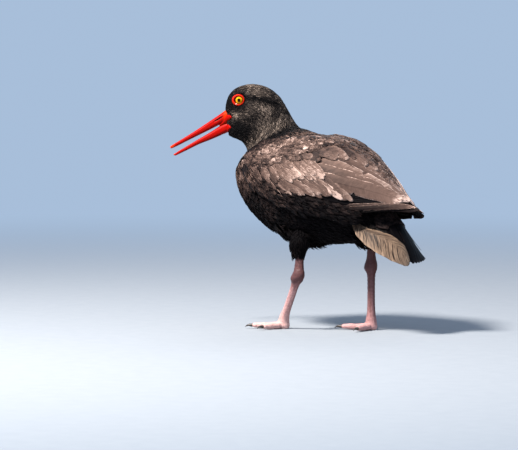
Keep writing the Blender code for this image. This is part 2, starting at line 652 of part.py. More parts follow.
def build_tail(torso):
    """The tail: a short solid fan at the root and the tail feathers that grow from it."""
    across = np.linspace(-1, 1, 9)
    t = np.linspace(0, 1, 4)[:, None]
    s = TAIL_START + (TAIL_CORE_END - TAIL_START) * t + 0 * across
    across = across[None, :] * 0.9 + 0 * s
    top, out = tail_surface(s, across), tail_normal(s, across)
    thick = (3.4 - 1.6 * t)[..., None] * (1 - 0.4 * across[..., None] ** 2)
    top = top - out * TAIL_SINK
    tail = shell("tail", top, top - out * thick, "tail_brown", PLUMAGE_BROWN)
    pieces = []
    for k in range(TAIL_FEATHERS):
        place = -1 + (2 * k + 1) / TAIL_FEATHERS
        length = TAIL_LENGTH * (1 - 0.07 * place**2)
        root = (TAIL_START + 4 - 16 * place**2, place * 0.93)
        rise = 1.0 - 2.4 * abs(place)
        tilt = VANE_TILT * 1.6 * np.sign(place)
        pieces.append(vane("rectrix_%d" % k, tail_surface, tail_normal, root, (length, place), TAIL_VANE,
                           rise, tilt, 0.0, 5, lambda points: points))
    fuse(tail, pieces)
    room = grown(torso, "tail_room", GAP)
    boolean(tail, "DIFFERENCE", room)
    keep_largest(tail)
    bpy.data.objects.remove(room, do_unlink=True)


def leg_rings(leg, places, count):
    """Rings round one leg at places along its rows, from the knee down to the ground."""
    knee, ankle, joint = (np.array(leg[word]) for word in ("knee", "ankle", "joint"))
    ground = joint * (1, 1, 0)
    rows = []
    spans = ((knee, ankle, THIGH_SIZES), (ankle, joint, SHANK_SIZES), (joint, ground, HEEL_SIZES))
    for start, end, sizes in spans:
        rows += [(*(start + (end - start) * t), wide, deep) for t, wide, deep in sizes]
    rows = np.array(rows)
    p = along(rows, places)
    way = along(rows, places + 0.02)[:, :3] - along(rows, places - 0.02)[:, :3]
    return round_sections(p[:, :3], p[:, 3], p[:, 4], (0, 1, 0), count, way)


def build_leg(side, torso):
    """Feathered thigh, shank and foot of one leg as lengths of one loft, with its toes and claws."""
    name = "left" if side == 1 else "right"
    leg = LEGS[name]
    rings = leg_rings(leg, np.linspace(0, ANKLE_CUT - LEG_PARTING, 10), 12)
    thigh = closed_loft("thigh_" + name, rings, "leg_pink", LEG_PINK)
    room = grown(torso, "thigh_room", GAP)
    boolean(thigh, "DIFFERENCE", room, "MANIFOLD")
    keep_largest(thigh)
    bpy.data.objects.remove(room, do_unlink=True)
    rings = leg_rings(leg, np.linspace(ANKLE_CUT + LEG_PARTING, JOINT_CUT - LEG_PARTING, 10), 12)
    closed_loft("shank_" + name, rings, "leg_pink", LEG_PINK)
    rings = leg_rings(leg, np.linspace(JOINT_CUT + LEG_PARTING, 14, 7), 12)
    build_foot(name, np.array(leg["joint"]), rings, leg["toes"])


def toe_line(joint, heading, length, t):
    """Centre line of a toe: from the joint down to the ground and then level, curving slightly inwards."""
    way = np.array([-cos(heading), -sin(heading), 0.0])
    base = np.array([joint[0], joint[1], 0.0])
    t = np.asarray(t, float)[:, None]
    height = TOE_RADIUS * 0.85 + (joint[2] - TOE_RADIUS * 0.85) * np.clip(1 - t / 0.30, 0, 1) ** 2
    return base + way * length * t + np.array([0, 0, 1.0]) * height


def build_foot(name, joint, heel_rings, toes):
    """Three toes and the heel fused into one foot with a flat sole, and three claws."""
    foot = closed_loft("foot_" + name, heel_rings, "leg_pink", LEG_PINK)
    t = np.linspace(0, 1, 8)
    knuckle = 1 + 0.07 * np.cos(t * 3 * 2 * pi)
    size = TOE_RADIUS * (1 - 0.22 * t) * knuckle
    size[-1] *= 0.72
    pieces = []
    for number, (heading, length) in enumerate(toes):
        centres = toe_line(joint, radians(heading), length, t - 0.02 * (number + 1) * (1 - t))
        rings = round_sections(centres, size, size * 0.9, (0, 0, 1), 7)
        pieces.append(closed_loft("toe_%d" % number, rings, "leg_pink", LEG_PINK))
    fuse(foot, pieces)
    flat = cutter(block("below_floor", (joint[0], joint[1], -20.0), (120.0, 120.0, 40.0)))
    boolean(foot, "DIFFERENCE", flat, "MANIFOLD")
    keep_largest(foot)
    bpy.data.objects.remove(flat, do_unlink=True)
    for word, (heading, length) in zip(("inner", "middle", "outer"), toes):
        build_claw("claw_%s_%s" % (word, name), joint, radians(heading), length)


def build_claw(node, joint, heading, length):
    """A short curved claw face to face with the end of its toe, just clear of the ground."""
    way = np.array([-cos(heading), -sin(heading), 0.0])
    start = toe_line(joint, heading, length, [1.0])[0] + way * GAP
    t = np.linspace(0, 1, 5)
    rise = 2.5 * t**2 * (1 - t) - 1.8 * t**3
    centres = start + way * (CLAW_LENGTH * t)[:, None] + np.array([0, 0, 1.0]) * rise[:, None]
    size = CLAW_RADIUS * (1 - 0.78 * t)
    closed_loft(node, round_sections(centres, size, size * 0.85, (0, 0, 1), 6), "claw_dark", CLAW_DARK)


def block(name, centre, size):
    """A plain box by its centre and full sizes."""
    signs = np.array([(x, y, z) for x in (-1, 1) for y in (-1, 1) for z in (-1, 1)], float)
    points = np.array(centre) + signs * np.array(size) / 2
    faces = [(0, 1, 3, 2), (4, 6, 7, 5), (0, 4, 5, 1), (2, 3, 7, 6), (0, 2, 6, 4), (1, 5, 7, 3)]
    made = add_object(name, points, faces, "leg_pink", LEG_PINK)
    face_outwards(made)
    return made


def wing_room():
    """The torso's space in the wings: its loft in fewer and slightly wider sections."""
    u, v = np.linspace(NECK_END - 0.6, len(BODY) - 1, 13), np.linspace(0, 2 * pi, 20, endpoint=False)
    rings = body_point(u[:, None] + 0 * v, v + 0 * u[:, None])
    middle = rings.mean(axis=1, keepdims=True)
    away = rings - middle
    rings = rings + away / np.linalg.norm(away, axis=2, keepdims=True) * ROOM
    return cutter(closed_loft("wing_room", rings, "plumage_brown", PLUMAGE_BROWN))


def build_wing(side):
    """The folded wing of one side: its core and feathers fused, cut clear of the torso."""
    wing = wing_core(side)
    fuse(wing, wing_feathers(side))
    room = wing_room()
    boolean(wing, "DIFFERENCE", room, "MANIFOLD")
    keep_largest(wing)
    bpy.data.objects.remove(room, do_unlink=True)


def main():
    clear_scene()
    body = build_body()
    build_eyes(body["head"])
    build_bill(body["head"])
    for side in (1, -1):
        build_wing(side)
        build_leg(side, body["torso"])
    build_tail(body["torso"])


main()
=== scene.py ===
"""The looks of a black oystercatcher, life size: skin, feathers, bill, eyes, legs and claws.

The bird faces -X, its left side is -Y and the floor is Z = 0. Lengths are millimetres in a frame of the
bird's own until a mesh is made. Every surface is a function of two parameters, and a feather is laid on
such a surface by the surface's own slopes.
"""

import bpy
import numpy as np
from mathutils import Matrix


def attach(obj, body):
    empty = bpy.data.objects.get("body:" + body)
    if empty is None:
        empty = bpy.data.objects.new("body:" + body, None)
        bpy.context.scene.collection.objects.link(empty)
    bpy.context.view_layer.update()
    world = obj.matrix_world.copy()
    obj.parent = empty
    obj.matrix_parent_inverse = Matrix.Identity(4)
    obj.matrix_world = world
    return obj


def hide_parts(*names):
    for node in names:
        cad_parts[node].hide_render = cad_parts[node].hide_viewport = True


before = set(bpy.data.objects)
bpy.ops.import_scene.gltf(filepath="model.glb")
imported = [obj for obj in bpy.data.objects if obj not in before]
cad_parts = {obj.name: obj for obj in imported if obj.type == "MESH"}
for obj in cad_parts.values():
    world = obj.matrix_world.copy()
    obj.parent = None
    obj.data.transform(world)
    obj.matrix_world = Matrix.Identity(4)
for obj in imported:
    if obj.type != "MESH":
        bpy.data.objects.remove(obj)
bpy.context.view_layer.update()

MM = 0.001
PLACE = np.array((9.6, 6.4, 0.0))
PI = np.pi
HEAD_TURN = np.radians(38)
TURN_AXIS_X = -62.0
TURN_SPAN = (5.6, 10.6)

# Body sections from the face to the tail root: back line x, z; belly line x, z; half width; squareness
BODY = np.array([
    (-114.5, 226.0, -114.0, 213.0, 4.5, 2.0), (-113.8, 238.0, -112.5, 206.5, 8.0, 2.0),
    (-110.0, 248.0, -108.0, 203.0, 11.5, 2.1), (-101.5, 255.5, -102.5, 200.8, 15.5, 2.15),
    (-85.5, 259.0, -97.0, 198.0, 20.0, 2.2), (-69.0, 255.0, -93.0, 193.0, 22.0, 2.2),
    (-56.4, 245.0, -91.2, 188.2, 23.5, 2.1), (-49.4, 232.8, -91.5, 183.5, 26.0, 2.0),
    (-43.0, 221.3, -94.5, 178.5, 30.0, 2.0), (-36.5, 213.2, -99.5, 170.5, 36.0, 2.0),
    (-25.0, 210.5, -101.5, 157.5, 42.0, 2.0), (-11.0, 206.8, -94.5, 138.5, 47.0, 2.05),
    (4.0, 204.0, -76.5, 117.5, 50.0, 2.1), (20.5, 200.5, -47.5, 100.5, 51.5, 2.1),
    (38.5, 195.0, -13.5, 92.5, 50.5, 2.1), (56.5, 183.0, 20.0, 92.0, 45.0, 2.1),
    (72.5, 167.0, 46.0, 93.5, 35.0, 2.0), (84.0, 148.0, 63.0, 94.5, 23.0, 2.0),
    (91.5, 130.0, 75.0, 94.0, 15.5, 2.0), (95.5, 116.0, 85.0, 95.0, 10.5, 2.0),
    (96.5, 108.5, 91.0, 99.0, 5.5, 2.0),
])
EYE_PLACE = (3.07, 60.0)
EYE_RADIUS, EYE_DEPTH = 5.2, 2.9

# Bill sections from inside the face to the tip, in the same terms
UPPER_BILL = np.array([
    (-102.0, 237.0, -103.0, 224.5, 7.0, 2.3), (-113.5, 231.8, -113.0, 219.6, 6.2, 2.4),
    (-121.0, 226.8, -121.0, 215.8, 5.1, 2.5), (-132.0, 219.3, -132.0, 210.2, 4.1, 2.5),
    (-144.5, 211.0, -144.5, 204.0, 3.4, 2.5), (-157.0, 203.1, -157.0, 197.8, 2.9, 2.5),
    (-166.5, 197.3, -166.5, 193.0, 2.4, 2.5), (-172.0, 193.9, -171.3, 190.8, 1.9, 2.4),
    (-174.2, 192.1, -173.4, 190.4, 1.2, 2.2),
])
LOWER_BILL = np.array([
    (-102.0, 223.5, -102.0, 208.6, 6.4, 2.3), (-113.0, 218.7, -113.0, 207.5, 5.9, 2.4),
    (-120.0, 214.9, -120.5, 204.1, 4.8, 2.5), (-132.0, 207.2, -131.0, 199.6, 3.7, 2.5),
    (-144.5, 199.9, -143.5, 194.7, 3.1, 2.5), (-156.0, 193.0, -155.0, 189.0, 2.6, 2.5),
    (-164.5, 187.9, -163.5, 184.9, 2.1, 2.5), (-169.0, 184.9, -168.2, 182.8, 1.6, 2.4),
    (-170.5, 184.0, -170.0, 183.0, 1.0, 2.2),
])

# Outer surface of the folded wings; then its top line, bottom line (degrees) and thickness
FOLDED = np.array([
    (-37.0, 213.8, -102.0, 171.5, 38.0, 2.0), (-24.0, 211.2, -105.0, 157.0, 45.0, 2.0),
    (-9.0, 209.2, -98.0, 135.0, 50.5, 2.0), (7.0, 207.4, -80.0, 113.0, 54.0, 2.1),
    (25.0, 204.0, -50.0, 95.0, 56.0, 2.1), (43.0, 198.5, -14.0, 87.0, 55.0, 2.1),
    (61.0, 187.5, 20.0, 84.0, 51.0, 2.1), (77.5, 174.0, 48.0, 84.0, 43.5, 2.0),
    (93.0, 159.5, 72.0, 89.0, 34.0, 2.0), (106.5, 146.5, 93.0, 98.0, 25.0, 2.0),
    (119.5, 137.5, 112.0, 108.0, 16.5, 2.0), (132.0, 132.0, 129.0, 117.0, 9.0, 2.0),
])
WING_EDGES = np.array([
    (70.0, 92.0, 7.0), (52.0, 97.0, 9.0), (38.0, 100.0, 9.5), (28.0, 99.0, 9.5), (17.0, 96.0, 9.5),
    (7.0, 93.0, 9.5), (3.0, 92.0, 9.0), (3.0, 94.0, 8.0), (4.0, 86.0, 5.0), (5.0, 74.0, 3.6),
    (7.0, 62.0, 3.0), (12.0, 56.0, 2.4),
])
FAR_WING_DROP = 6.0
MIDLINE = 0.8

TAIL_ROOT = (57.5, 153.0)
TAIL_LENGTH = 104.0
TAIL_PITCH = (np.radians(30), np.radians(72))
TAIL_HALF_WIDTH = (20.0, 0.26, 0.0013)
TAIL_ARCH = (26.0, 3.0)

# Knee, ankle, toe joint, and the heading in degrees and length of each toe; then sizes down the leg
LEGS = {
    "left": ((-3.0, -30.0, 114.0), (-1.0, -37.6, 59.5), (-33.0, -22.0, 9.5),
             (("inner", -52, 28.0), ("middle", 34, 34.0), ("outer", 76, 29.0))),
    "right": ((52.0, 19.0, 116.0), (50.0, 22.0, 70.0), (50.0, 22.0, 9.5),
              (("inner", 95, 29.0), ("middle", 30, 32.0), ("outer", -60, 30.0))),
}
THIGH_SIZES = ((0.0, 9.0, 10.0), (0.2, 11.5, 13.0), (0.4, 8.6, 9.4), (0.6, 5.6, 5.8), (0.76, 4.5, 4.6),
               (0.9, 4.9, 5.4))
SHANK_SIZES = ((0.0, 5.9, 6.6), (0.1, 5.3, 5.9), (0.22, 3.9, 3.9), (0.55, 3.6, 3.6), (0.8, 3.8, 3.9),
               (0.93, 4.7, 4.7))
HEEL_SIZES = ((0.35, 5.8, 6.0), (0.7, 5.9, 6.2), (1.08, 4.2, 4.4))
TOE_RADIUS, CLAW_LENGTH, CLAW_RADIUS, GAP = 3.8, 6.5, 2.0, 0.3

draw = np.random.default_rng(29)


# ---- surfaces ----

def along(rows, u):
    """Catmull-Rom curve through a table's rows: at u the row number, the usual cubic in its fraction."""
    u = np.asarray(u, float)
    last = len(rows) - 1
    i = np.clip(np.floor(u).astype(int), 0, last - 1)
    f = (u - i)[..., None]
    a, b, c, d = rows[np.maximum(i - 1, 0)], rows[i], rows[i + 1], rows[np.minimum(i + 2, last)]
    return 0.5 * (2 * b + (c - a) * f + (2 * a - 5 * b + 4 * c - d) * f**2 + (3 * b - a - 3 * c + d) * f**3)


def section_point(rows, u, v):
    """Superellipse of each section: centre + reach * cos v + width * sin v, scaled to the squareness."""
    s = along(rows, u)
    top, low = s[..., 0:2], s[..., 2:4]
    centre, reach = (top + low) / 2, (top - low) / 2
    c, w, power = np.cos(v), np.sin(v), s[..., 5]
    size = (np.abs(c) ** power + np.abs(w) ** power) ** (-1 / power)
    x = centre[..., 0] + reach[..., 0] * c * size
    z = centre[..., 1] + reach[..., 1] * c * size
    return np.stack([x, -s[..., 4] * w * size, z], axis=-1)


def turned(points, u):
    """Turns points about the neck's upright line by the head's angle times a smooth step of u."""
    f = np.clip((TURN_SPAN[1] - np.asarray(u, float)) / (TURN_SPAN[1] - TURN_SPAN[0]), 0, 1)
    angle = HEAD_TURN * f * f * (3 - 2 * f)
    x, y = points[..., 0] - TURN_AXIS_X, points[..., 1]
    c, s = np.cos(angle), np.sin(angle)
    return np.stack([TURN_AXIS_X + c * x - s * y, s * x + c * y, points[..., 2] + 0 * x], axis=-1)


def body_point(u, v):
    """The outside of head, neck and torso: a body section at u, angle v, turned with the head."""
    return turned(section_point(BODY, u, v), u)


def wing_point(u, v):
    """The outside of the left wing: a folded-wing section at u and the angle v."""
    return section_point(FOLDED, u, v)


def tail_point(s, across):
    """The tail: an arc in the middle plane at s, opened sideways by across and arched down by its square."""
    turn = (TAIL_PITCH[1] - TAIL_PITCH[0]) / TAIL_LENGTH
    pitch = TAIL_PITCH[0] + turn * s
    x = TAIL_ROOT[0] + (np.sin(pitch) - np.sin(TAIL_PITCH[0])) / turn
    z = TAIL_ROOT[1] + (np.cos(pitch) - np.cos(TAIL_PITCH[0])) / turn
    hang = (TAIL_ARCH[0] * (1 - (s / TAIL_LENGTH) ** 2) + TAIL_ARCH[1]) * across**2
    half = TAIL_HALF_WIDTH[0] + TAIL_HALF_WIDTH[1] * s - TAIL_HALF_WIDTH[2] * s**2
    return np.stack([x - hang * np.sin(pitch), -across * half, z - hang * np.cos(pitch)], axis=-1)


def leg_rows(name):
    """Centre, half width and half depth of the leg from the knee to the ground, as one table."""
    knee, ankle, joint = (np.array(p) for p in LEGS[name][:3])
    spans = ((knee, ankle, THIGH_SIZES), (ankle, joint, SHANK_SIZES), (joint, joint * (1, 1, 0), HEEL_SIZES))
    return np.array([(*(a + (b - a) * t), wide, deep) for a, b, sizes in spans for t, wide, deep in sizes])


def round_point(rows, place, angle):
    """A tube's outside: centre + width * cos(angle) * side + depth * sin(angle) * up, across its line."""
    p = along(rows, place)
    way = along(rows, place + 0.02)[..., :3] - along(rows, place - 0.02)[..., :3]
    way /= np.linalg.norm(way, axis=-1, keepdims=True)
    side = np.array((0, 1.0, 0)) - way * way[..., 1:2]
    side /= np.linalg.norm(side, axis=-1, keepdims=True)
    wide = p[..., 3:4] * np.cos(angle)[..., None] * side
    return p[..., :3] + wide + p[..., 4:5] * np.sin(angle)[..., None] * np.cross(way, side)


def unit(vectors):
    return vectors / np.maximum(np.linalg.norm(vectors, axis=-1, keepdims=True), 1e-9)


def slopes(surface, a, b, step=0.01):
    """How the surface moves for one unit of each parameter, by central differences."""
    per_a = (surface(a + step, b) - surface(a - step, b)) / (2 * step)
    per_b = (surface(a, b + step) - surface(a, b - step)) / (2 * step)
    return per_a, per_b


def out_of(surface, a, b):
    """The direction out of a surface: the cross product of its two slopes."""
    per_a, per_b = slopes(surface, a, b)
    return unit(np.cross(per_b, per_a))


# ---- meshes ----

def make(name, points, groups, look, slot, loops=None, values=None, replaced=()):
    """A piece from points in millimetres and arrays of faces, with UV maps per corner and values per point."""
    mesh = bpy.data.meshes.new(name)
    points = (np.asarray(points, float).reshape(-1, 3) + PLACE) * MM
    sizes = np.concatenate([np.full(len(g), g.shape[1]) for g in groups])
    corners = np.concatenate([g.ravel() for g in groups]).astype(np.int32)
    mesh.vertices.add(len(points))
    mesh.vertices.foreach_set("co", points.ravel())
    mesh.loops.add(len(corners))
    mesh.loops.foreach_set("vertex_index", corners)
    mesh.polygons.add(len(sizes))
    mesh.polygons.foreach_set("loop_start", (np.cumsum(sizes) - sizes).astype(np.int32))
    mesh.polygons.foreach_set("loop_total", sizes.astype(np.int32))
    mesh.polygons.foreach_set("use_smooth", np.ones(len(sizes), bool))
    mesh.update(calc_edges=True)
    for word, uv in (loops or {}).items():
        layer = mesh.uv_layers.new(name=word)
        layer.data.foreach_set("uv", np.asarray(uv, float).reshape(-1, 2)[corners].ravel())
    for word, value in (values or {}).items():
        mesh.attributes.new(word, "FLOAT", "POINT").data.foreach_set("value", np.ravel(value).astype(float))
    mesh.materials.append(look)
    piece = bpy.data.objects.new(name, mesh)
    bpy.context.scene.collection.objects.link(piece)
    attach(piece, "root")
    if replaced:
        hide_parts(*replaced)
    return piece


def tube_faces(rings, count, start=0):
    """Quads between closed rings, and a fan to one more point beyond each end (the last two points)."""
    r, k = np.meshgrid(np.arange(rings - 1), np.arange(count), indexing="ij")
    a, b = r * count + k, r * count + (k + 1) % count
    quads = np.stack([a, b, b + count, a + count], axis=-1).reshape(-1, 4)
    k = np.arange(count)
    first, last = rings * count, rings * count + 1
    head = np.stack([np.full(count, first), (k + 1) % count, k], axis=-1)
    base = (rings - 1) * count
    tail = np.stack([np.full(count, last), base + k, base + (k + 1) % count], axis=-1)
    return [quads + start, np.concatenate([head, tail]) + start]


def loft(rings):
    """Points and faces of a closed tube through rings (rings, points, 3), ends closed at their middles."""
    ends = np.stack([rings[0].mean(axis=0), rings[-1].mean(axis=0)])
    points = np.concatenate([rings.reshape(-1, 3), ends])
    return points, faced_out(points, tube_faces(rings.shape[0], rings.shape[1]))


def faced_out(points, groups):
    """Turns all faces round if the volume that they enclose, the sum of a . (b x c) / 6, is negative."""
    tris = [g[:, [0, 1, 2]] for g in groups] + [g[:, [0, 2, 3]] for g in groups if g.shape[1] == 4]
    t = points[np.concatenate(tris)]
    volume = np.einsum("ij,ij->i", t[:, 0], np.cross(t[:, 1], t[:, 2])).sum()
    return groups if volume > 0 else [g[:, ::-1] for g in groups]


def grid_unwrap(rings, count, ends=2):
    """A UV for each point of a tube: round it and along it, the two end points at the middle."""
    u, v = np.meshgrid(np.linspace(0, 1, rings), np.arange(count) / count, indexing="ij")
    uv = np.stack([v, u], axis=-1).reshape(-1, 2)
    return np.concatenate([uv, [(0.5, 0.0), (0.5, 1.0)][:ends]])


# ---- materials ----

class Value:
    """A socket in a material, with Python's operators adding Math nodes."""

    def __init__(self, finish, socket):
        self.finish, self.socket = finish, socket

    def math(self, operation, *others):
        return self.finish.node("ShaderNodeMath", {"operation": operation}, [self, *others])

    def __add__(self, other):
        return self.math("ADD", other)

    def __sub__(self, other):
        return self.math("SUBTRACT", other)

    def __rsub__(self, other):
        return self.finish.node("ShaderNodeMath", {"operation": "SUBTRACT"}, [other, self])

    def __mul__(self, other):
        return self.math("MULTIPLY", other)

    def __truediv__(self, other):
        return self.math("DIVIDE", other)

    def __pow__(self, other):
        return self.math("POWER", other)

    def __abs__(self):
        return self.math("ABSOLUTE")

    __radd__, __rmul__ = __add__, __mul__

    def sine(self):
        return self.math("SINE")

    def most(self, other):
        return self.math("MAXIMUM", other)

    def least(self, other):
        return self.math("MINIMUM", other)

    def step(self, low, high):
        """0 below low, 1 above high and a smooth rise between them; low above high turns it round."""
        settings = {"interpolation_type": "SMOOTHSTEP"}
        if low < high:
            return self.finish.node("ShaderNodeMapRange", settings, [self, low, high, 0.0, 1.0])
        return self.finish.node("ShaderNodeMapRange", settings, [self, high, low, 1.0, 0.0])


class Finish:
    """A material under construction, and its Principled shader."""

    def __init__(self, name, **constants):
        self.material = bpy.data.materials.new(name)
        self.material.use_nodes = True
        self.tree = self.material.node_tree
        self.shader = self.tree.nodes["Principled BSDF"]
        for word, number in constants.items():
            self.shader.inputs[word.replace("_", " ")].default_value = number

    def node(self, kind, settings=None, values=None, output=0):
        """Adds a node: its settings first (or a ramp's stops), then the values or links of its sockets."""
        made = self.tree.nodes.new(kind)
        for word, setting in (settings or {}).items():
            if word == "stops":
                ramp = made.color_ramp.elements
                while len(ramp) < len(setting):
                    ramp.new(0.5)
                for element, (place, colour) in zip(ramp, setting):
                    element.position = place
                    element.color = (*colour, 1.0)
            else:
                setattr(made, word, setting)
        pairs = values.items() if isinstance(values, dict) else enumerate(values or [])
        for socket, value in pairs:
            self.join(made.inputs[socket], value)
        return Value(self, made.outputs[output])

    def join(self, socket, value):
        if isinstance(value, Value):
            self.tree.links.new(value.socket, socket)
        elif isinstance(value, tuple) and len(value) == 3 and socket.type == "RGBA":
            socket.default_value = (*value, 1.0)
        else:
            socket.default_value = value

    def set(self, **links):
        for word, value in links.items():
            self.join(self.shader.inputs[word.replace("_", " ")], value)
        return self.material

    def place(self):
        return self.node("ShaderNodeTexCoord", output=3)

    def scaled(self, vector, scale):
        return self.node("ShaderNodeVectorMath", {"operation": "MULTIPLY"}, [vector, scale])

    def attribute(self, word):
        return self.node("ShaderNodeAttribute", {"attribute_name": word}, output=2)

    def uv(self, word):
        vector = self.node("ShaderNodeUVMap", {"uv_map": word})
        split = self.node("ShaderNodeSeparateXYZ", values=[vector])
        return split, Value(self, split.socket.node.outputs[1])

    def pack(self, x, y, z):
        return self.node("ShaderNodeCombineXYZ", values=[x, y, z])

    def noise(self, vector, scale, detail=3.0, rough=0.55):
        return self.node("ShaderNodeTexNoise", None,
                         {"Vector": vector, "Scale": scale, "Detail": detail, "Roughness": rough})

    def cells(self, vector, scale, feature="DISTANCE_TO_EDGE"):
        return self.node("ShaderNodeTexVoronoi", {"feature": feature}, {"Vector": vector, "Scale": scale})

    def blend(self, f, a, b, kind="MIX"):
        settings = {"data_type": "RGBA", "blend_type": kind}
        return self.node("ShaderNodeMix", settings, {0: f, 6: a, 7: b}, output=2)

    def ramp(self, f, *stops):
        return self.node("ShaderNodeValToRGB", {"stops": stops}, [f])

    def bump(self, height, strength, distance, normal=None):
        values = {"Strength": strength, "Distance": distance, "Height": height}
        if normal is not None:
            values["Normal"] = normal
        return self.node("ShaderNodeBump", None, values)


def plumage(name, roughness, gloss, dark, mid, light, pale, splits=0.0, streaks=0.42, grain=0.25, slant=5.0):
    """Feather finish. Tone picks the colour; barbs run from the shaft out to the edge, and edges are worn.

    Gloss is the level of the reflection, streaks and grain how strongly barbs differ and splits how dark the lines
    between parted barbs are.

    The feather's own map gives c, -1 to 1 across, and t, 0 to 1 along. A barb keeps t * barbs - slant * |c|.
    """
    f = Finish(name, Roughness=roughness, Specular_IOR_Level=gloss)
    x, t = f.uv("feather")
    c = (x - 0.5) * 2.0
    aside = abs(c)
    seed, tone, worn = f.attribute("seed"), f.attribute("tone"), f.attribute("worn")
    barbs = f.attribute("barbs")
    barb = t * barbs - aside * slant
    calm = (1.15 - barbs * 0.013).most(0.3)
    streak = f.noise(f.pack(barb * 0.35, aside * 1.4, seed * 91.0), 1.0, 3.0)
    fine = f.noise(f.pack(barb * 1.6, aside * 2.5, seed * 57.0), 1.0, 2.0)
    edge = aside.most(t * 1.01).step(0.88, 1.0) * (streak * 0.6 + fine * 0.6).step(0.4, 0.8)
    shaft = aside.step(0.09, 0.02)
    heart = (aside * 0.9).most(t * 0.8).step(0.75, 0.1)
    shade = tone + (streak - 0.5) * calm * streaks + (fine - 0.5) * calm * grain + (seed - 0.5) * 0.24 + edge * worn * 0.36
    shade = shade - heart * 0.12 + (t - 0.6) * 0.16
    if splits:
        parted = f.noise(f.pack(barb * 1.1, aside * 0.8, seed * 13.0), 1.0, 2.0)
        shade = shade - parted.step(0.50, 0.64) * aside.step(0.04, 0.2) * aside.step(0.97, 0.6) * splits
    colour = f.ramp(shade - shaft * 0.05, (0.0, dark), (0.33, mid), (0.66, light), (1.0, pale))
    height = (barb * (2 * PI)).sine() * 0.35 + fine * 0.5 + shaft * 1.2
    rough = streak * 0.25 + (roughness - 0.12)
    return f.set(Base_Color=colour, Roughness=rough, Normal=f.bump(height, 0.5, 0.0002))


# ---- feathers ----

def spread(surface, a_span, b_span, count, weight=None, phase=0.0):
    """Roots spread evenly over a surface: a golden-ratio sequence, warped by the sums of area * weight."""
    na, nb = 160, 200
    a = np.linspace(*a_span, na)
    b = np.linspace(*b_span, nb)
    aa, bb = np.meshgrid(a, b, indexing="ij")
    per_a, per_b = slopes(surface, aa, bb)
    area = np.linalg.norm(np.cross(per_a, per_b), axis=-1)
    if weight is not None:
        area = area * weight(aa, bb)
    area += area.max() * 1e-7
    rows = np.concatenate([[0], np.cumsum(area.sum(axis=1))])
    index = np.arange(count) + 0.5
    p, q = (index * 0.7548776662 + phase) % 1, (index * 0.5698402910 + phase) % 1
    place = np.interp(p * rows[-1], rows, np.arange(na + 1))
    low = np.clip(place.astype(int), 0, na - 1)
    columns = np.cumsum(area, axis=1)
    columns /= columns[:, -1:]
    found = columns[low]
    k = np.minimum((found < q[:, None]).sum(axis=1), nb - 1)
    before = np.where(k > 0, found[np.arange(count), np.maximum(k - 1, 0)], 0)
    part = (q - before) / np.maximum(found[np.arange(count), k] - before, 1e-12)
    a_root = a[0] + (place - 0.5) * (a[1] - a[0])
    b_root = b[0] + (k + part - 0.5) * (b[1] - b[0])
    return np.clip(a_root, *a_span), np.clip(b_root, *b_span)


# Cross section of a small feather: place across, and height in half thicknesses
SLIM = np.array(((-1, 0), (0, 1), (1, 0), (0, -0.6)))
BROAD = np.array(((-1, 0), (-0.5, 0.8), (0, 1), (0.5, 0.8), (1, 0), (0, -0.4)))
ROUNDED = ((0, 0.30), (0.25, 0.85), (0.55, 1.0), (0.8, 0.85), (0.93, 0.5), (1, 0.06))
POINTED = ((0, 0.35), (0.3, 1.0), (0.55, 0.85), (0.8, 0.45), (1, 0.05))


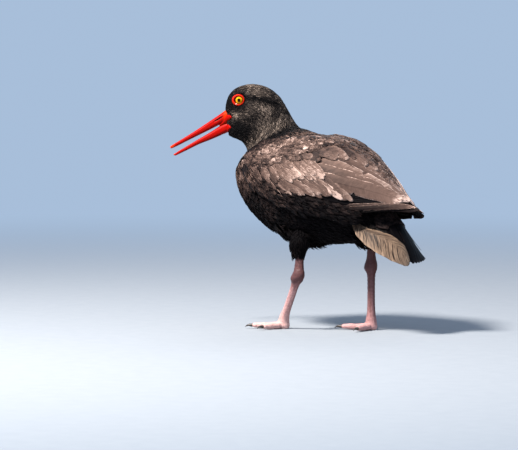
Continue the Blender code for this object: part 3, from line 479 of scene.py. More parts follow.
def small_feathers(surface, a0, b0, length, half, lie, heights, steps, section, outline, thick, tint, worn,
                   finish=None, droop=0.25, unwrap=((0, 1), (0, 1))):
    """Many small feathers as one array of closed slim lofts laid on a surface.

    Each runs length along the first parameter turned by lie, spreads half * outline across, and lies at
    heights (root, tip) out of the surface: P(root + parameters solved from along and across) + out * height.
    """
    n = len(a0)
    t = np.linspace(0, 1, steps)
    width = np.interp(t, *zip(*outline))
    per_a, per_b = slopes(surface, a0, b0)
    out = unit(np.cross(per_b, per_a))
    ahead = unit(per_a)
    side = np.cross(out, ahead)
    way = np.cos(lie)[:, None] * ahead + np.sin(lie)[:, None] * side
    across = np.cos(lie)[:, None] * side - np.sin(lie)[:, None] * ahead
    c = section[:, 0]
    ragged = 1 + draw.uniform(-0.16, 0.12, (n, steps, 1))
    s = (length[:, None] * t)[:, :, None] + 0 * c
    x = half[:, None, None] * width[None, :, None] * c * ragged
    shift = s[..., None] * way[:, None, None] + x[..., None] * across[:, None, None]
    aa, ab, bb = (per_a**2).sum(-1), (per_a * per_b).sum(-1), (per_b**2).sum(-1)
    sa = (shift * per_a[:, None, None]).sum(-1)
    sb = (shift * per_b[:, None, None]).sum(-1)
    det = (aa * bb - ab**2)[:, None, None]
    a = a0[:, None, None] + (bb[:, None, None] * sa - ab[:, None, None] * sb) / det
    b = b0[:, None, None] + (aa[:, None, None] * sb - ab[:, None, None] * sa) / det
    root, tip = heights
    rise = root[:, None] + (tip - root)[:, None] * (1 - (1 - t) ** 1.7)
    body = thick * (1 - 0.6 * t) * np.minimum(1, 4 * (1 - t) + 0.15)
    height = rise[:, :, None] + body[None, :, None] * section[:, 1] - droop * half[:, None, None] * 0.3 * c**2
    middle = out_of(surface, a[:, :, 0] / 2 + a[:, :, 2] / 2, b[:, :, 0] / 2 + b[:, :, 2] / 2)
    points = surface(a, b) + middle[:, :, None] * height[..., None]
    if finish is not None:
        points = finish(points)
    k = len(c)
    base = (np.arange(n) * steps * k)[:, None, None]
    r, j = np.meshgrid(np.arange(steps - 1), np.arange(k), indexing="ij")
    quads = np.stack([r * k + j, r * k + (j + 1) % k, (r + 1) * k + (j + 1) % k, (r + 1) * k + j], axis=-1)
    quads = (base + quads.reshape(1, -1, 4)).reshape(-1, 4)
    j = np.arange(k)
    caps = np.stack([j[::-1], (steps - 1) * k + j])
    caps = (base + caps[None]).reshape(-1, k)
    u = np.stack([0.5 + 0.5 * c[None, :] + 0 * t[:, None], t[:, None] + 0 * c], axis=-1)
    own = np.broadcast_to(u[None], (n, steps, k, 2))
    (a_low, a_high), (b_low, b_high) = unwrap
    bake = np.stack([(b0 - b_low) / (b_high - b_low), (a0 - a_low) / (a_high - a_low)], axis=-1) * 0.985
    bake = bake[:, None, None] + own * 0.003
    seed = np.broadcast_to(draw.random(n)[:, None, None], a.shape)
    values = {"seed": seed, "tone": np.broadcast_to(tint[:, None, None], a.shape),
              "worn": np.broadcast_to(worn[:, None, None], a.shape),
              "barbs": np.broadcast_to((length / 0.9)[:, None, None], a.shape)}
    return points.reshape(-1, 3), [quads, caps], {"feather": own, "OFBake": bake}, values


def joined(parts):
    """Puts several sets of points, faces, maps and values together, moving the faces' numbers along."""
    points = np.concatenate([p[0].reshape(-1, 3) for p in parts])
    starts = np.cumsum([0] + [len(p[0].reshape(-1, 3)) for p in parts[:-1]])
    groups = [g + start for p, start in zip(parts, starts) for g in p[1]]
    loops = {w: np.concatenate([np.reshape(p[2][w], (-1, 2)) for p in parts]) for w in parts[0][2]}
    values = {w: np.concatenate([np.ravel(p[3][w]) for p in parts]) for w in parts[0][3]}
    return points, groups, loops, values


def large_feather(surface, root, tip, half, heights, tilt, bow, outline, steps, tint, worn, cell,
                  columns=13, finish=None, thick=(1.0, 0.35), notches=3, shaft=0.0):
    """One flight, tail or covert feather as a thin closed vane with slanting barbs and split edges.

    Its shaft, at c = shaft, runs from root to tip in the surface's parameters, bent by bow * sin. A grid row follows a
    barb: along = t + slant * |c| * half / length. Splits pull a few rows' outer columns towards the shaft.
    """
    t = np.linspace(0, 1, steps)
    c = np.linspace(-1, 1, columns)
    c = np.sign(c) * np.abs(c) ** 0.9
    aside = np.where(c < shaft, (c - shaft) / (1 + shaft), (c - shaft) / (1 - shaft))
    chord = np.linalg.norm(surface(np.array(tip[0]), np.array(tip[1])) - surface(*map(np.array, root)))
    slant = 0.55 * half / chord
    outer = np.interp(t, *zip(*outline))
    q = np.minimum(t[:, None] + slant * np.abs(aside) * np.minimum(1, 1.2 * (1 - t[:, None])), 1.0)
    width = half * np.interp(q, *zip(*outline)) * np.sign(outer[:, None] + 1)
    cut = np.zeros((steps, columns))
    for _ in range(notches):
        place = draw.uniform(0.35, 0.97)
        deep, narrow = draw.uniform(0.25, 0.75), draw.uniform(0.4, 1.1) / chord
        near = np.exp(-((t[:, None] - place) / max(narrow, 0.6 / steps)) ** 2)
        right = np.sign(c) == draw.choice((-1, 1))
        cut = np.maximum(cut, near * deep * right * np.abs(c) ** 1.5)
    x = width * c * (1 - cut) * (1 + 0.03 * np.sin(37 * q + 50 * tip[1]) * np.abs(c) ** 3)
    u = root[0] + (tip[0] - root[0]) * q
    v = root[1] + (tip[1] - root[1]) * q + bow * np.sin(PI * q)
    per_a, per_b = slopes(surface, u, v)
    e = 0.01
    line_v = root[1] + (tip[1] - root[1]) * (q + e) + bow * np.sin(PI * (q + e))
    ahead = surface(u + e * (tip[0] - root[0]), line_v) - surface(u, v)
    out = unit(np.cross(per_b, per_a))
    side = unit(np.cross(out, ahead))
    aa, ab, bb = (per_a**2).sum(-1), (per_a * per_b).sum(-1), (per_b**2).sum(-1)
    sa, sb = (per_a * side).sum(-1), (per_b * side).sum(-1)
    det = aa * bb - ab**2
    a, b = u + x * (bb * sa - ab * sb) / det, v + x * (aa * sb - ab * sa) / det
    start, end = heights
    rise = np.interp(q, (0, 0.3, 1), (start, end * 0.6 - 0.3, end))
    wave = 0.12 * np.sin(11 * q + 3 * np.sign(c) + 20 * tip[1]) * np.abs(c) ** 2
    height = rise + tilt * x - 0.3 * c**2 * np.minimum(1, half / 7) + wave
    height = height + 0.28 * np.exp(-(aside / 0.07) ** 2) * (1 - 0.8 * q)
    depth = (thick[0] + (thick[1] - thick[0]) * np.minimum(1, 2 * q)) * (1 - 0.35 * c**2)
    place, normal = surface(a, b), out_of(surface, a, b)
    top, low = place + normal * height[..., None], place + normal * (height - depth)[..., None]
    if finish is not None:
        top, low = finish(top), finish(low)
    r, k = np.meshgrid(np.arange(steps - 1), np.arange(columns - 1), indexing="ij")
    quads = np.stack([r * columns + k, r * columns + k + 1, (r + 1) * columns + k + 1, (r + 1) * columns + k], -1)
    quads = quads.reshape(-1, 4)
    base = steps * columns
    edge = np.concatenate([np.arange(columns), np.arange(1, steps) * columns + columns - 1,
                           base - 2 - np.arange(columns - 1), np.arange(steps - 2, 0, -1) * columns])
    ahead_of = np.roll(edge, -1)
    rim = np.stack([ahead_of, edge, edge + base, ahead_of + base], axis=-1)
    points = np.concatenate([top.reshape(-1, 3), low.reshape(-1, 3)])
    groups = faced_out(points, [np.concatenate([quads, quads[:, ::-1] + base, rim])])
    own = np.stack([0.5 + 0.5 * aside + 0 * q, q], axis=-1)
    own = np.stack([own, own]).reshape(-1, 2)
    (column, row), per_side = cell
    bake = (np.array((column, row)) + 0.04 + 0.92 * own * (1, 1)) / per_side
    full = np.ones(2 * base)
    values = {"seed": full * draw.random(), "tone": full * tint, "worn": full * worn,
              "barbs": full * chord / 1.1}
    return points, groups, {"feather": own, "OFBake": bake}, values


def wing_side(points, side):
    """Keeps the left wing's points off the middle, and mirrors them for the right one, which hangs lower."""
    points = points.copy()
    points[..., 1] = np.minimum(points[..., 1], -MIDLINE)
    if side == -1:
        points[..., 1] *= -1
        points[..., 2] -= FAR_WING_DROP * np.clip((points[..., 0] - 60.0) / 70.0, 0, 1) ** 2
    return points


def as_made(parts, side):
    """Joined feathers whose faces are turned round on the mirrored side."""
    points, groups, loops, values = parts
    return points, groups if side == 1 else [g[:, ::-1] for g in groups], loops, values


def plate(top, low):
    """Points and faces of a closed plate between two grids laid out alike, with a rim round both."""
    rows, columns = top.shape[:2]
    r, k = np.meshgrid(np.arange(rows - 1), np.arange(columns - 1), indexing="ij")
    quads = np.stack([r * columns + k, r * columns + k + 1, (r + 1) * columns + k + 1, (r + 1) * columns + k], -1)
    quads = quads.reshape(-1, 4)
    base = rows * columns
    edge = np.concatenate([np.arange(columns), np.arange(1, rows) * columns + columns - 1,
                           base - 2 - np.arange(columns - 1), np.arange(rows - 2, 0, -1) * columns])
    ahead = np.roll(edge, -1)
    rim = np.stack([ahead, edge, edge + base, ahead + base], axis=-1)
    points = np.concatenate([top.reshape(-1, 3), low.reshape(-1, 3)])
    return points, faced_out(points, [np.concatenate([quads, quads[:, ::-1] + base, rim])])


# ---- finishes ----

BLACKS = ((0.0018, 0.0014, 0.0018), (0.013, 0.0100, 0.0095), (0.085, 0.064, 0.052), (0.38, 0.29, 0.235))
BROWNS = ((0.0020, 0.0013, 0.0018), (0.022, 0.0138, 0.0125), (0.130, 0.080, 0.064), (0.56, 0.40, 0.34))
head_feathers = plumage("head_feathers", 0.6, 0.06, *BLACKS, streaks=0.8, grain=0.8)
body_feathers = plumage("body_feathers", 0.6, 0.05, *BROWNS, streaks=0.6, grain=0.5)
wing_feathers = plumage("wing_feathers", 0.5, 0.05, *BROWNS, streaks=0.85, grain=0.7)


def under_skin():
    f = Finish("under_skin", Roughness=0.85, Specular_IOR_Level=0.05)
    spots = f.noise(f.place(), 900.0, 4.0)
    return f.set(Base_Color=f.ramp(spots, (0.3, (0.006, 0.005, 0.005)), (0.8, (0.028, 0.021, 0.018))),
                 Normal=f.bump(spots, 0.4, 0.0004))


def bill_horn():
    """Red horn: orange at the base and the worn tip, with faint lengthways growth lines. Painted shade darkens the
    nostril, the inside edges of the lips and the underside of each mandible; the orange along the lips' meeting edges
    is partly a painted highlight.
    """
    f = Finish("bill_horn", Roughness=0.45, Specular_IOR_Level=0.05)
    length, pit, ridge = f.attribute("length"), f.attribute("pit"), f.attribute("ridge")
    # Painted shade on the lower side of each mandible.
    underside_shade = ridge.step(0.35, 0.0)
    place = f.place()
    mottle = f.noise(place, 260.0, 4.0)
    lines = f.noise(f.pack(length * 3.0, ridge * 6.0, 0.0), 6.0, 3.0)
    orange = (length.step(0.16, 0.0) * 0.75).most(length.step(0.90, 1.0) * 0.55) + (mottle - 0.5) * 0.4
    red = f.blend(lines * 0.5 + mottle * 0.3, (0.20, 0.0012, 0.0006), (0.42, 0.004, 0.0008))
    colour = f.blend(orange.step(0.05, 0.8), red, (0.50, 0.030, 0.001))
    colour = f.blend(underside_shade * 0.6, colour, (0.14, 0.001, 0.001))
    # Painted shade in the nostril and on the lips' sides that face the closed mouth.
    colour = f.blend(pit * 0.92, colour, (0.035, 0.006, 0.004))
    height = lines * 0.5 + mottle * 0.35
    return f.set(Base_Color=colour, Roughness=mottle * 0.2 + 0.32, Normal=f.bump(height, 0.06, 0.0002))


def ring_flesh():
    f = Finish("ring_flesh", Roughness=0.4, Specular_IOR_Level=0.08)
    grain = f.noise(f.place(), 1500.0, 3.0)
    colour = f.blend(grain.step(0.3, 0.7), (0.30, 0.004, 0.001), (0.50, 0.016, 0.001))
    return f.set(Base_Color=colour, Roughness=grain * 0.3 + 0.22, Normal=f.bump(grain, 0.4, 0.0002))


# A small bump of flesh on the eye ring's lower front, coloured pale pink as a painted highlight.
def fold_flesh_painted_highlight():
    f = Finish("fold_flesh_painted_highlight", Roughness=0.4, Specular_IOR_Level=0.15)
    grain = f.noise(f.place(), 1800.0, 3.0)
    return f.set(Base_Color=f.blend(grain, (0.50, 0.12, 0.09), (0.66, 0.26, 0.22)), Normal=f.bump(grain, 0.3, 0.0002))


def eye_glass():
    """Iris in rings about the eye's axis: black pupil, amber round it, clear yellow, dark limit."""
    f = Finish("eye_glass", Roughness=0.1, Coat_Weight=0.03, Coat_Roughness=0.05, Specular_IOR_Level=0.08)
    r, turn = f.attribute("radius"), f.attribute("turn")
    rays = f.noise(f.pack((turn * (2 * PI)).sine() * 3.0, (turn * (2 * PI) + PI / 2).sine() * 3.0, r * 0.5), 4.0, 3.0)
    shade = r / 4.1 + (rays - 0.5) * 0.07
    colour = f.ramp(shade, (0.0, (0.001, 0.001, 0.001)), (0.34, (0.002, 0.001, 0.001)),
                    (0.40, (0.16, 0.06, 0.002)), (0.50, (0.50, 0.25, 0.003)), (0.80, (0.58, 0.30, 0.003)),
                    (0.92, (0.30, 0.10, 0.003)), (1.0, (0.012, 0.004, 0.003)))
    return f.set(Base_Color=colour, Roughness=rays * 0.05 + 0.05)


def leg_skin():
    """Scaly skin, mauve brown at the ankle and pale pink below, darker in the seams between scales. The right leg's
    tone is darker as painted shade, and the shade value paints shade on the side away from the key light, with stripes
    on the right tarsus.
    """
    f = Finish("leg_skin", Roughness=0.5, Specular_IOR_Level=0.12)
    up, seam, shade = f.attribute("up"), f.attribute("seam"), f.attribute("shade")
    mottle = f.noise(f.place(), 420.0, 4.0)
    fine = f.noise(f.place(), 2400.0, 2.0)
    tone = up + (mottle - 0.5) * 0.35
    colour = f.ramp(tone, (0.0, (0.73, 0.46, 0.42)), (0.25, (0.59, 0.33, 0.32)), (0.50, (0.30, 0.148, 0.148)),
                    (0.72, (0.11, 0.050, 0.055)), (1.0, (0.055, 0.029, 0.032)))
    colour = f.blend(shade * 0.8, colour, (0.085, 0.030, 0.026))
    colour = f.blend(seam * 0.5, colour, (0.14, 0.055, 0.045))
    return f.set(Base_Color=colour, Roughness=fine * 0.3 + 0.32, Normal=f.bump(fine + mottle, 0.25, 0.0003))


def claw_horn():
    f = Finish("claw_horn", Roughness=0.35)
    lines = f.noise(f.scaled(f.place(), (1.0, 1.0, 3.0)), 700.0, 3.0)
    colour = f.ramp(lines, (0.3, (0.012, 0.009, 0.008)), (0.8, (0.07, 0.045, 0.035)))
    return f.set(Base_Color=colour, Roughness=lines * 0.3 + 0.25, Normal=f.bump(lines, 0.3, 0.0002))


# ---- skin ----

def depth_at(u):
    """How deep the skin lies under the tips of the coat at body section u."""
    return np.interp(u, (0, 2, 6, 9, 12, 20), (0.7, 1.3, 2.2, 3.0, 3.6, 2.4))


def build_skin():
    """Head, neck and torso in one: the body's surface moved in by the depth of the coat."""
    u, v = np.linspace(0, len(BODY) - 1, 170), np.linspace(0, 2 * PI, 110, endpoint=False)
    uu, vv = np.meshgrid(u, v, indexing="ij")
    inside = np.clip(uu, 0.15, len(BODY) - 1.15)
    rings = body_point(uu, vv) - out_of(body_point, inside, vv) * depth_at(uu)[..., None]
    points, groups = loft(rings)
    make("skin", points, groups, under_skin(), "plumage_body", {"OFBake": grid_unwrap(170, 110)},
         replaced=("head", "neck", "torso"))


def patchy(a, b, scale, seed):
    """A smooth pattern from -1 to 1: the mean of a few sine waves in turned directions."""
    waves = np.random.default_rng(seed)
    total = 0
    for _ in range(7):
        x, y, start = waves.normal(0, 1, 2).tolist() + [waves.uniform(0, 2 * PI)]
        total = total + np.sin(a * x / scale + b * y / scale + start)
    return total / 3.2


def clear_of_eyes(u, v, length, margin):
    """True where a feather's root and tip both stay outside the eye rings."""
    keep = np.ones(len(u), bool)
    per_u, _ = slopes(body_point, u, v)
    root = body_point(u, v)
    for side in (1, -1):
        centre = eye_frame(side)[0]
        for share in (0, 0.5, 1):
            spot = root + unit(per_u) * (length * share)[:, None]
            keep &= np.linalg.norm(spot - centre, axis=1) > margin
    return keep


def off_the_mouth(u, v):
    """True where a feather's root isn't on the bill's base or the flesh at the corner of the mouth."""
    root = section_point(BODY, u, v)
    reach = np.interp(root[:, 2], (206, 209, 214, 218, 220, 224, 227), (-112, -109.8, -109, -111.5, -110.5, -108.4, -111))
    return ~((root[:, 0] < reach) & (root[:, 2] > 206) & (root[:, 2] < 229))


def eye_frame(side):
    """Place on the head's surface and the directions out, forward and up of one eye; side 1 is the left."""
    u, v, step = EYE_PLACE[0], side * np.radians(EYE_PLACE[1]), 0.02
    u, v = np.array(u), np.array(v)
    place = body_point(u, v)
    forward = body_point(u - step, v) - place
    across = body_point(u, v + step) - place
    lateral = body_point(u, side * PI / 2) - body_point(u, -side * PI / 2)
    out = np.cross(across, forward)
    out = unit(unit(out * np.sign(out @ lateral)) + unit(lateral))
    face = np.array((-np.cos(HEAD_TURN), -np.sin(HEAD_TURN), 0.0))
    forward = unit(face - out * (out @ face))
    up = np.cross(out, forward)
    return place, out, forward, up * np.sign(up[2])


# Spots on both sides of the head: place and reach in the side view, and how much lighter it is. Most are the head's own
# marks; the thin dark line behind the eye is painted shade in its crease, and the lighter spots on the cheek are partly
# painted highlight.
FACE_MARKS = (
    (-111.0, 240.0, 11.0, 14.0, -0.42), (-101.0, 238.0, 9.0, 9.0, -0.30), (-84.0, 244.4, 12.0, 2.4, -0.60),
    (-68.0, 242.5, 8.0, 3.2, -0.35), (-88.0, 252.5, 14.0, 4.0, 0.0), (-78.0, 235.5, 12.0, 5.0, 0.12),
    (-85.0, 227.5, 7.0, 3.0, -0.16), (-93.0, 223.0, 4.0, 3.0, -0.18), (-101.0, 211.0, 12.0, 9.5, -0.55), (-106.5, 225.0, 3.6, 4.0, 0.42),
    (-60.0, 234.0, 6.0, 7.0, -0.18), (-88.0, 196.0, 6.0, 9.0, 0.22), (-74.0, 218.0, 12.0, 7.0, 0.10),
)


def face_tone(u, v):
    """Sooty brown, with soft spots: tone = base + sum of change * exp(-distance^2 in reaches)."""
    p = section_point(BODY, u, v)
    tone = np.full(np.shape(u), 0.49) + 0.03 * np.clip(u - 5, 0, 2)
    for x, z, wide, high, change in FACE_MARKS:
        tone = tone + 1.3 * change * np.exp(-((p[..., 0] - x) / wide) ** 2 - ((p[..., 2] - z) / high) ** 2)
    return tone


def build_head_coat():
    """Short close feathers on the face, longer ones down the neck, black and then sooty brown."""
    span = ((0, 10.4), (-PI, PI))
    u, v = spread(body_point, (0.12, 6.6), (-PI, PI), 8600,
                  lambda a, b: np.interp(a, (0, 3, 6.6), (2.4, 1.4, 0.75)))
    length = np.interp(u, (0, 2.5, 6.6), (2.6, 4.6, 8.0)) * draw.uniform(0.8, 1.2, len(u))
    keep = clear_of_eyes(u, v, length, 6.9) & off_the_mouth(u, v)
    u, v, length = u[keep], v[keep], length[keep]
    n = len(u)
    tone = face_tone(u, v) + 0.09 * patchy(u * 6, v * 9, 1.3, 1) + 0.17 * patchy(u * 6, v * 9, 0.36, 8)
    root = -depth_at(u) + 0.15
    tip = draw.uniform(0.0, 0.45, n)
    half, lie = length * draw.uniform(0.23, 0.30, n), draw.normal(0, 0.13, n)
    for word, chosen in (("face", u < 3.4), ("crown", u >= 3.4)):
        parts = small_feathers(body_point, u[chosen], v[chosen], length[chosen], half[chosen], lie[chosen],
                               (root[chosen], tip[chosen]), 4, SLIM, POINTED, 0.55, tone[chosen],
                               np.full(chosen.sum(), 0.10), unwrap=span)
        make("coat_" + word, *parts[:2], head_feathers, "plumage_head", *parts[2:])
    u, v = spread(body_point, (6.2, 9.75), (-PI, PI), 4300, phase=0.3)
    n = len(u)
    length = np.interp(u, (6.2, 9.5), (8.0, 10.5)) * draw.uniform(0.8, 1.25, n)
    tone = face_tone(u, v) + 0.10 * patchy(u * 7, v * 10, 1.6, 2) + 0.13 * patchy(u * 7, v * 10, 0.5, 9)
    tone = tone - 0.62 * np.interp(u, (7.8, 8.5), (0, 1)) * np.interp(np.abs(v), (1.9, 2.6), (1, 0))
    parts = small_feathers(body_point, u, v, length, length * draw.uniform(0.2, 0.27, n),
                           draw.normal(0, 0.12, n), (-depth_at(u) + 0.2, draw.uniform(0.1, 0.9, n)), 5, SLIM,
                           POINTED, 0.6, tone, np.full(n, 0.12), unwrap=span)
    make("coat_neck", *parts[:2], head_feathers, "plumage_head", *parts[2:])


def under_wing(u, v):
    """1 where a folded wing hides the torso, with the wing's own edges a little inside."""
    edge = along(WING_EDGES, np.clip(u - 9.0, 0, 11))
    degrees = np.abs(np.degrees(v))
    return (u > 9.9) & (u < 18.2) & (degrees > edge[..., 0] + 9) & (degrees < edge[..., 1] - 9)


def build_body_coat():
    """Rounded feathers over breast, belly, back and rump; sparse where the wings hide them."""
    span = ((8.5, 20), (-PI, PI))
    pieces = (("breast", (9.05, 11.2), 4200), ("front", (11.1, 13.4), 3250), ("middle", (13.3, 16.2), 3000),
              ("rear", (16.1, 19.6), 2000))
    for number, (name, limits, count) in enumerate(pieces):
        u, v = spread(body_point, limits, (-PI, PI), count, lambda a, b: 1 - 0.85 * under_wing(a, b), 0.17 * number)
        n = len(u)
        root, back = body_point(u, v), np.cos(v)
        length = np.interp(back, (-1, 0, 1), (11.5, 11.0, 11.5)) * draw.uniform(0.75, 1.25, n)
        length *= np.interp(u, (9, 10.5, 17, 20), (0.8, 0.95, 1.0, 0.75))
        # Painted shade: the tone ramps darker low on the body, over the belly's own near-black, and the dark reaches
        # higher further back under the wing.
        low = np.interp(u, (10.2, 12.6), (0, 12))
        tone = np.interp(root[:, 2] - low, (100, 126, 142, 156, 200), (-0.06, 0.0, 0.22, 0.44, 0.44))
        # Painted shade: the lower body darkens further from section 13 to 16, under the wing.
        tone = tone - 0.16 * np.interp(u, (13, 16), (0, 1)) * (back < 0.3) + 0.12 * patchy(u * 6, v * 9, 2.6, 3)
        tone = tone + 0.16 * patchy(u * 6, v * 9, 0.55, 13) * np.interp(root[:, 2], (130, 165), (0.2, 1))
        # Painted shadow: the back just behind the neck is darker, where the neck's feathers overhang it.
        tone = tone - 0.24 * np.interp(u, (9.3, 11.2), (1, 0)) * np.interp(back, (0.0, 0.5), (0, 1))
        degrees = np.abs(np.degrees(v))
        flank = (degrees > 76) & (degrees < 104) & (u > 10.4) & (u < 17.5)
        high = draw.uniform(0.1, 1.2, n) * np.interp(back, (-1, 0.5), (1.4, 0.8)) + flank * draw.uniform(0.5, 4.5, n)
        high = high + ((degrees < 18) & (u > 11.5)) * draw.uniform(0.5, 1.8, n)
        # Painted shade: flank feathers under the wing's lower edge are darker behind section 11.
        tone = tone - 0.08 * flank * np.interp(u, (11, 13), (0, 1))
        parts = small_feathers(body_point, u, v, length * (1 + 0.25 * flank), length * draw.uniform(0.20, 0.28, n),
                               draw.normal(0, 0.13, n), (-depth_at(u) + 0.3, high), 5, SLIM, POINTED, 0.6,
                               tone, np.interp(back, (-1, 0.6), (0.05, 0.45)), unwrap=span)
        make("coat_" + name, *parts[:2], body_feathers, "plumage_body", *parts[2:])


def belly_drop(u):
    """How far ragged tufts hang from the belly before and behind the legs: a few Gaussian humps."""
    humps = ((12.5, 0.6, 1.9), (13.35, 0.35, 5.5), (13.95, 0.38, 7.0), (16.25, 0.45, 8.5))
    return sum(high * np.exp(-((u - place) / wide) ** 2) for place, wide, high in humps)


def build_thigh_coats():
    """Drooping feathers from the belly down to the bare part of each leg."""
    for name in LEGS:
        rows = leg_rows(name)

        def thigh(place, angle, rows=rows):
            middle = along(rows, place)[..., :3]
            slim = np.interp(place, (0.4, 2.2), (0.4, 1.0))[..., None]
            return middle + (round_point(rows, place, angle) - middle) * slim

        a, b = spread(thigh, (0.2, 3.0 if name == "left" else 2.6), (-PI, PI), 1000, phase=0.4)
        n = len(a)
        length = np.interp(a, (0, 3.4), (12.0, 7.0)) * draw.uniform(0.75, 1.3, n)
        tone = -0.08 + 0.06 * patchy(a * 5, b * 6, 3.0, 4)
        high = draw.uniform(-0.4, 1.4, n) * np.interp(a, (1.5, 3.1), (1.0, 0.2))
        if name == "left":
            high = high + 3.4 * np.clip(-0.62 * np.cos(b) - 0.79 * np.sin(b), 0, 1) * np.interp(a, (0.8, 1.6), (0, 1))
        parts = small_feathers(thigh, a, b, length, length * draw.uniform(0.14, 0.22, n),
                               draw.normal(0, 0.18, n), (np.full(n, -2.0), high), 5, SLIM,
                               POINTED, 0.6, tone, np.full(n, 0.1), unwrap=((0, 5), (-PI, PI)))
        make("coat_thigh_" + name, *parts[:2], body_feathers, "plumage_body", *parts[2:])
    u, v = spread(body_point, (11.8, 18.3), (PI - 0.75, PI + 0.75), 1300,
                  lambda a, b: 0.15 + belly_drop(a) / 6, phase=0.6)
    n = len(u)
    length = draw.uniform(9, 16, n)
    ragged = 0.55 + 0.35 * patchy(u * 9, v * 9, 1.6, 15) + draw.uniform(-0.25, 0.45, n)
    high = 0.8 + np.clip(ragged, 0, 1.5) * belly_drop(u)
    parts = small_feathers(body_point, u, v, length, length * draw.uniform(0.12, 0.2, n), draw.normal(0, 0.25, n),
                           (np.full(n, -2.2), high), 5, SLIM, POINTED, 0.6,
                           -0.06 + 0.06 * draw.random(n), np.full(n, 0.1), unwrap=((11, 20), (PI - 0.9, PI + 0.9)))
    make("belly_tufts", *parts[:2], body_feathers, "plumage_body", *parts[2:])


# ---- wings ----

def wing_at(u, degrees):
    """The wing's outside at section u, with the angle in degrees."""
    return wing_point(u, np.radians(degrees))


# First and last feather of each row (root section and angle, tip section and angle), count, half widths,
# heights of the tips, bow, points along, tone and wear
WING_ROWS = {
    "primary": (((6.2, 82), (10.85, 34)), ((5.8, 68), (9.8, 36)), 6, (6.0, 7.0), (-1.0, -0.5), (6, 6), 40, 0.02, 0.8),
    "outer": (((6.4, 93), (10.5, 38)), ((6.5, 88), (10.65, 31)), 2, (2.9, 2.9), (0.5, 0.3), (7, 7), 40, 0.46, 1.6),
    # The secondaries' tone of -0.24 is their own dark brown deepened as painted shade under the tertials.
    "secondary": (((3.2, 90), (7.6, 80)), ((4.6, 72), (9.0, 55)), 6, (6.5, 6.5), (-1.6, -1.2), (2, 2), 32, -0.24, 0.1),
    "tertial": (((3.9, 72), (9.5, 31)), ((4.3, 10), (9.9, 12)), 7, (9.5, 8.0), (0.9, 0.9), (8, 0), 46, 0.65, 1.5),
    # The greater and median rows' tone of 0.64 is partly painted sheen.
    "greater": (((1.8, 84), (3.7, 96)), ((4.7, 54), (7.1, 74)), 30, (2.7, 3.9), (0.2, 0.7), (1, 1), 22, 0.64, 0.4),
    "median": (((1.1, 78), (2.8, 91)), ((3.9, 48), (5.8, 62)), 28, (2.5, 3.5), (0.9, 1.3), (1, 1), 18, 0.64, 0.4),
    "scapular": (((1.7, 62), (3.5, 66)), ((4.6, 12), (7.2, 12)), 19, (4.2, 5.6), (1.5, 1.3), (2, 0), 22, 0.49, 0.6),
    "mantle": (((1.3, 54), (2.7, 56)), ((3.0, 8), (5.0, 8)), 18, (3.8, 5.0), (1.9, 1.5), (1, 0), 18, 0.45, 0.5),
}
BLADE = ((0, 0.42), (0.2, 0.8), (0.5, 1.0), (0.8, 0.97), (0.9, 0.82), (0.96, 0.55), (1, 0.12))
ATLAS = 12
JITTER = {"greater": (0.28, 3.0), "median": (0.30, 3.2), "scapular": (0.28, 3.0), "mantle": (0.30, 3.4)}
# The far wing's primaries hang lower behind the tail
FAR_PRIMARY = ((5.4, 98), (10.7, 46), 16)


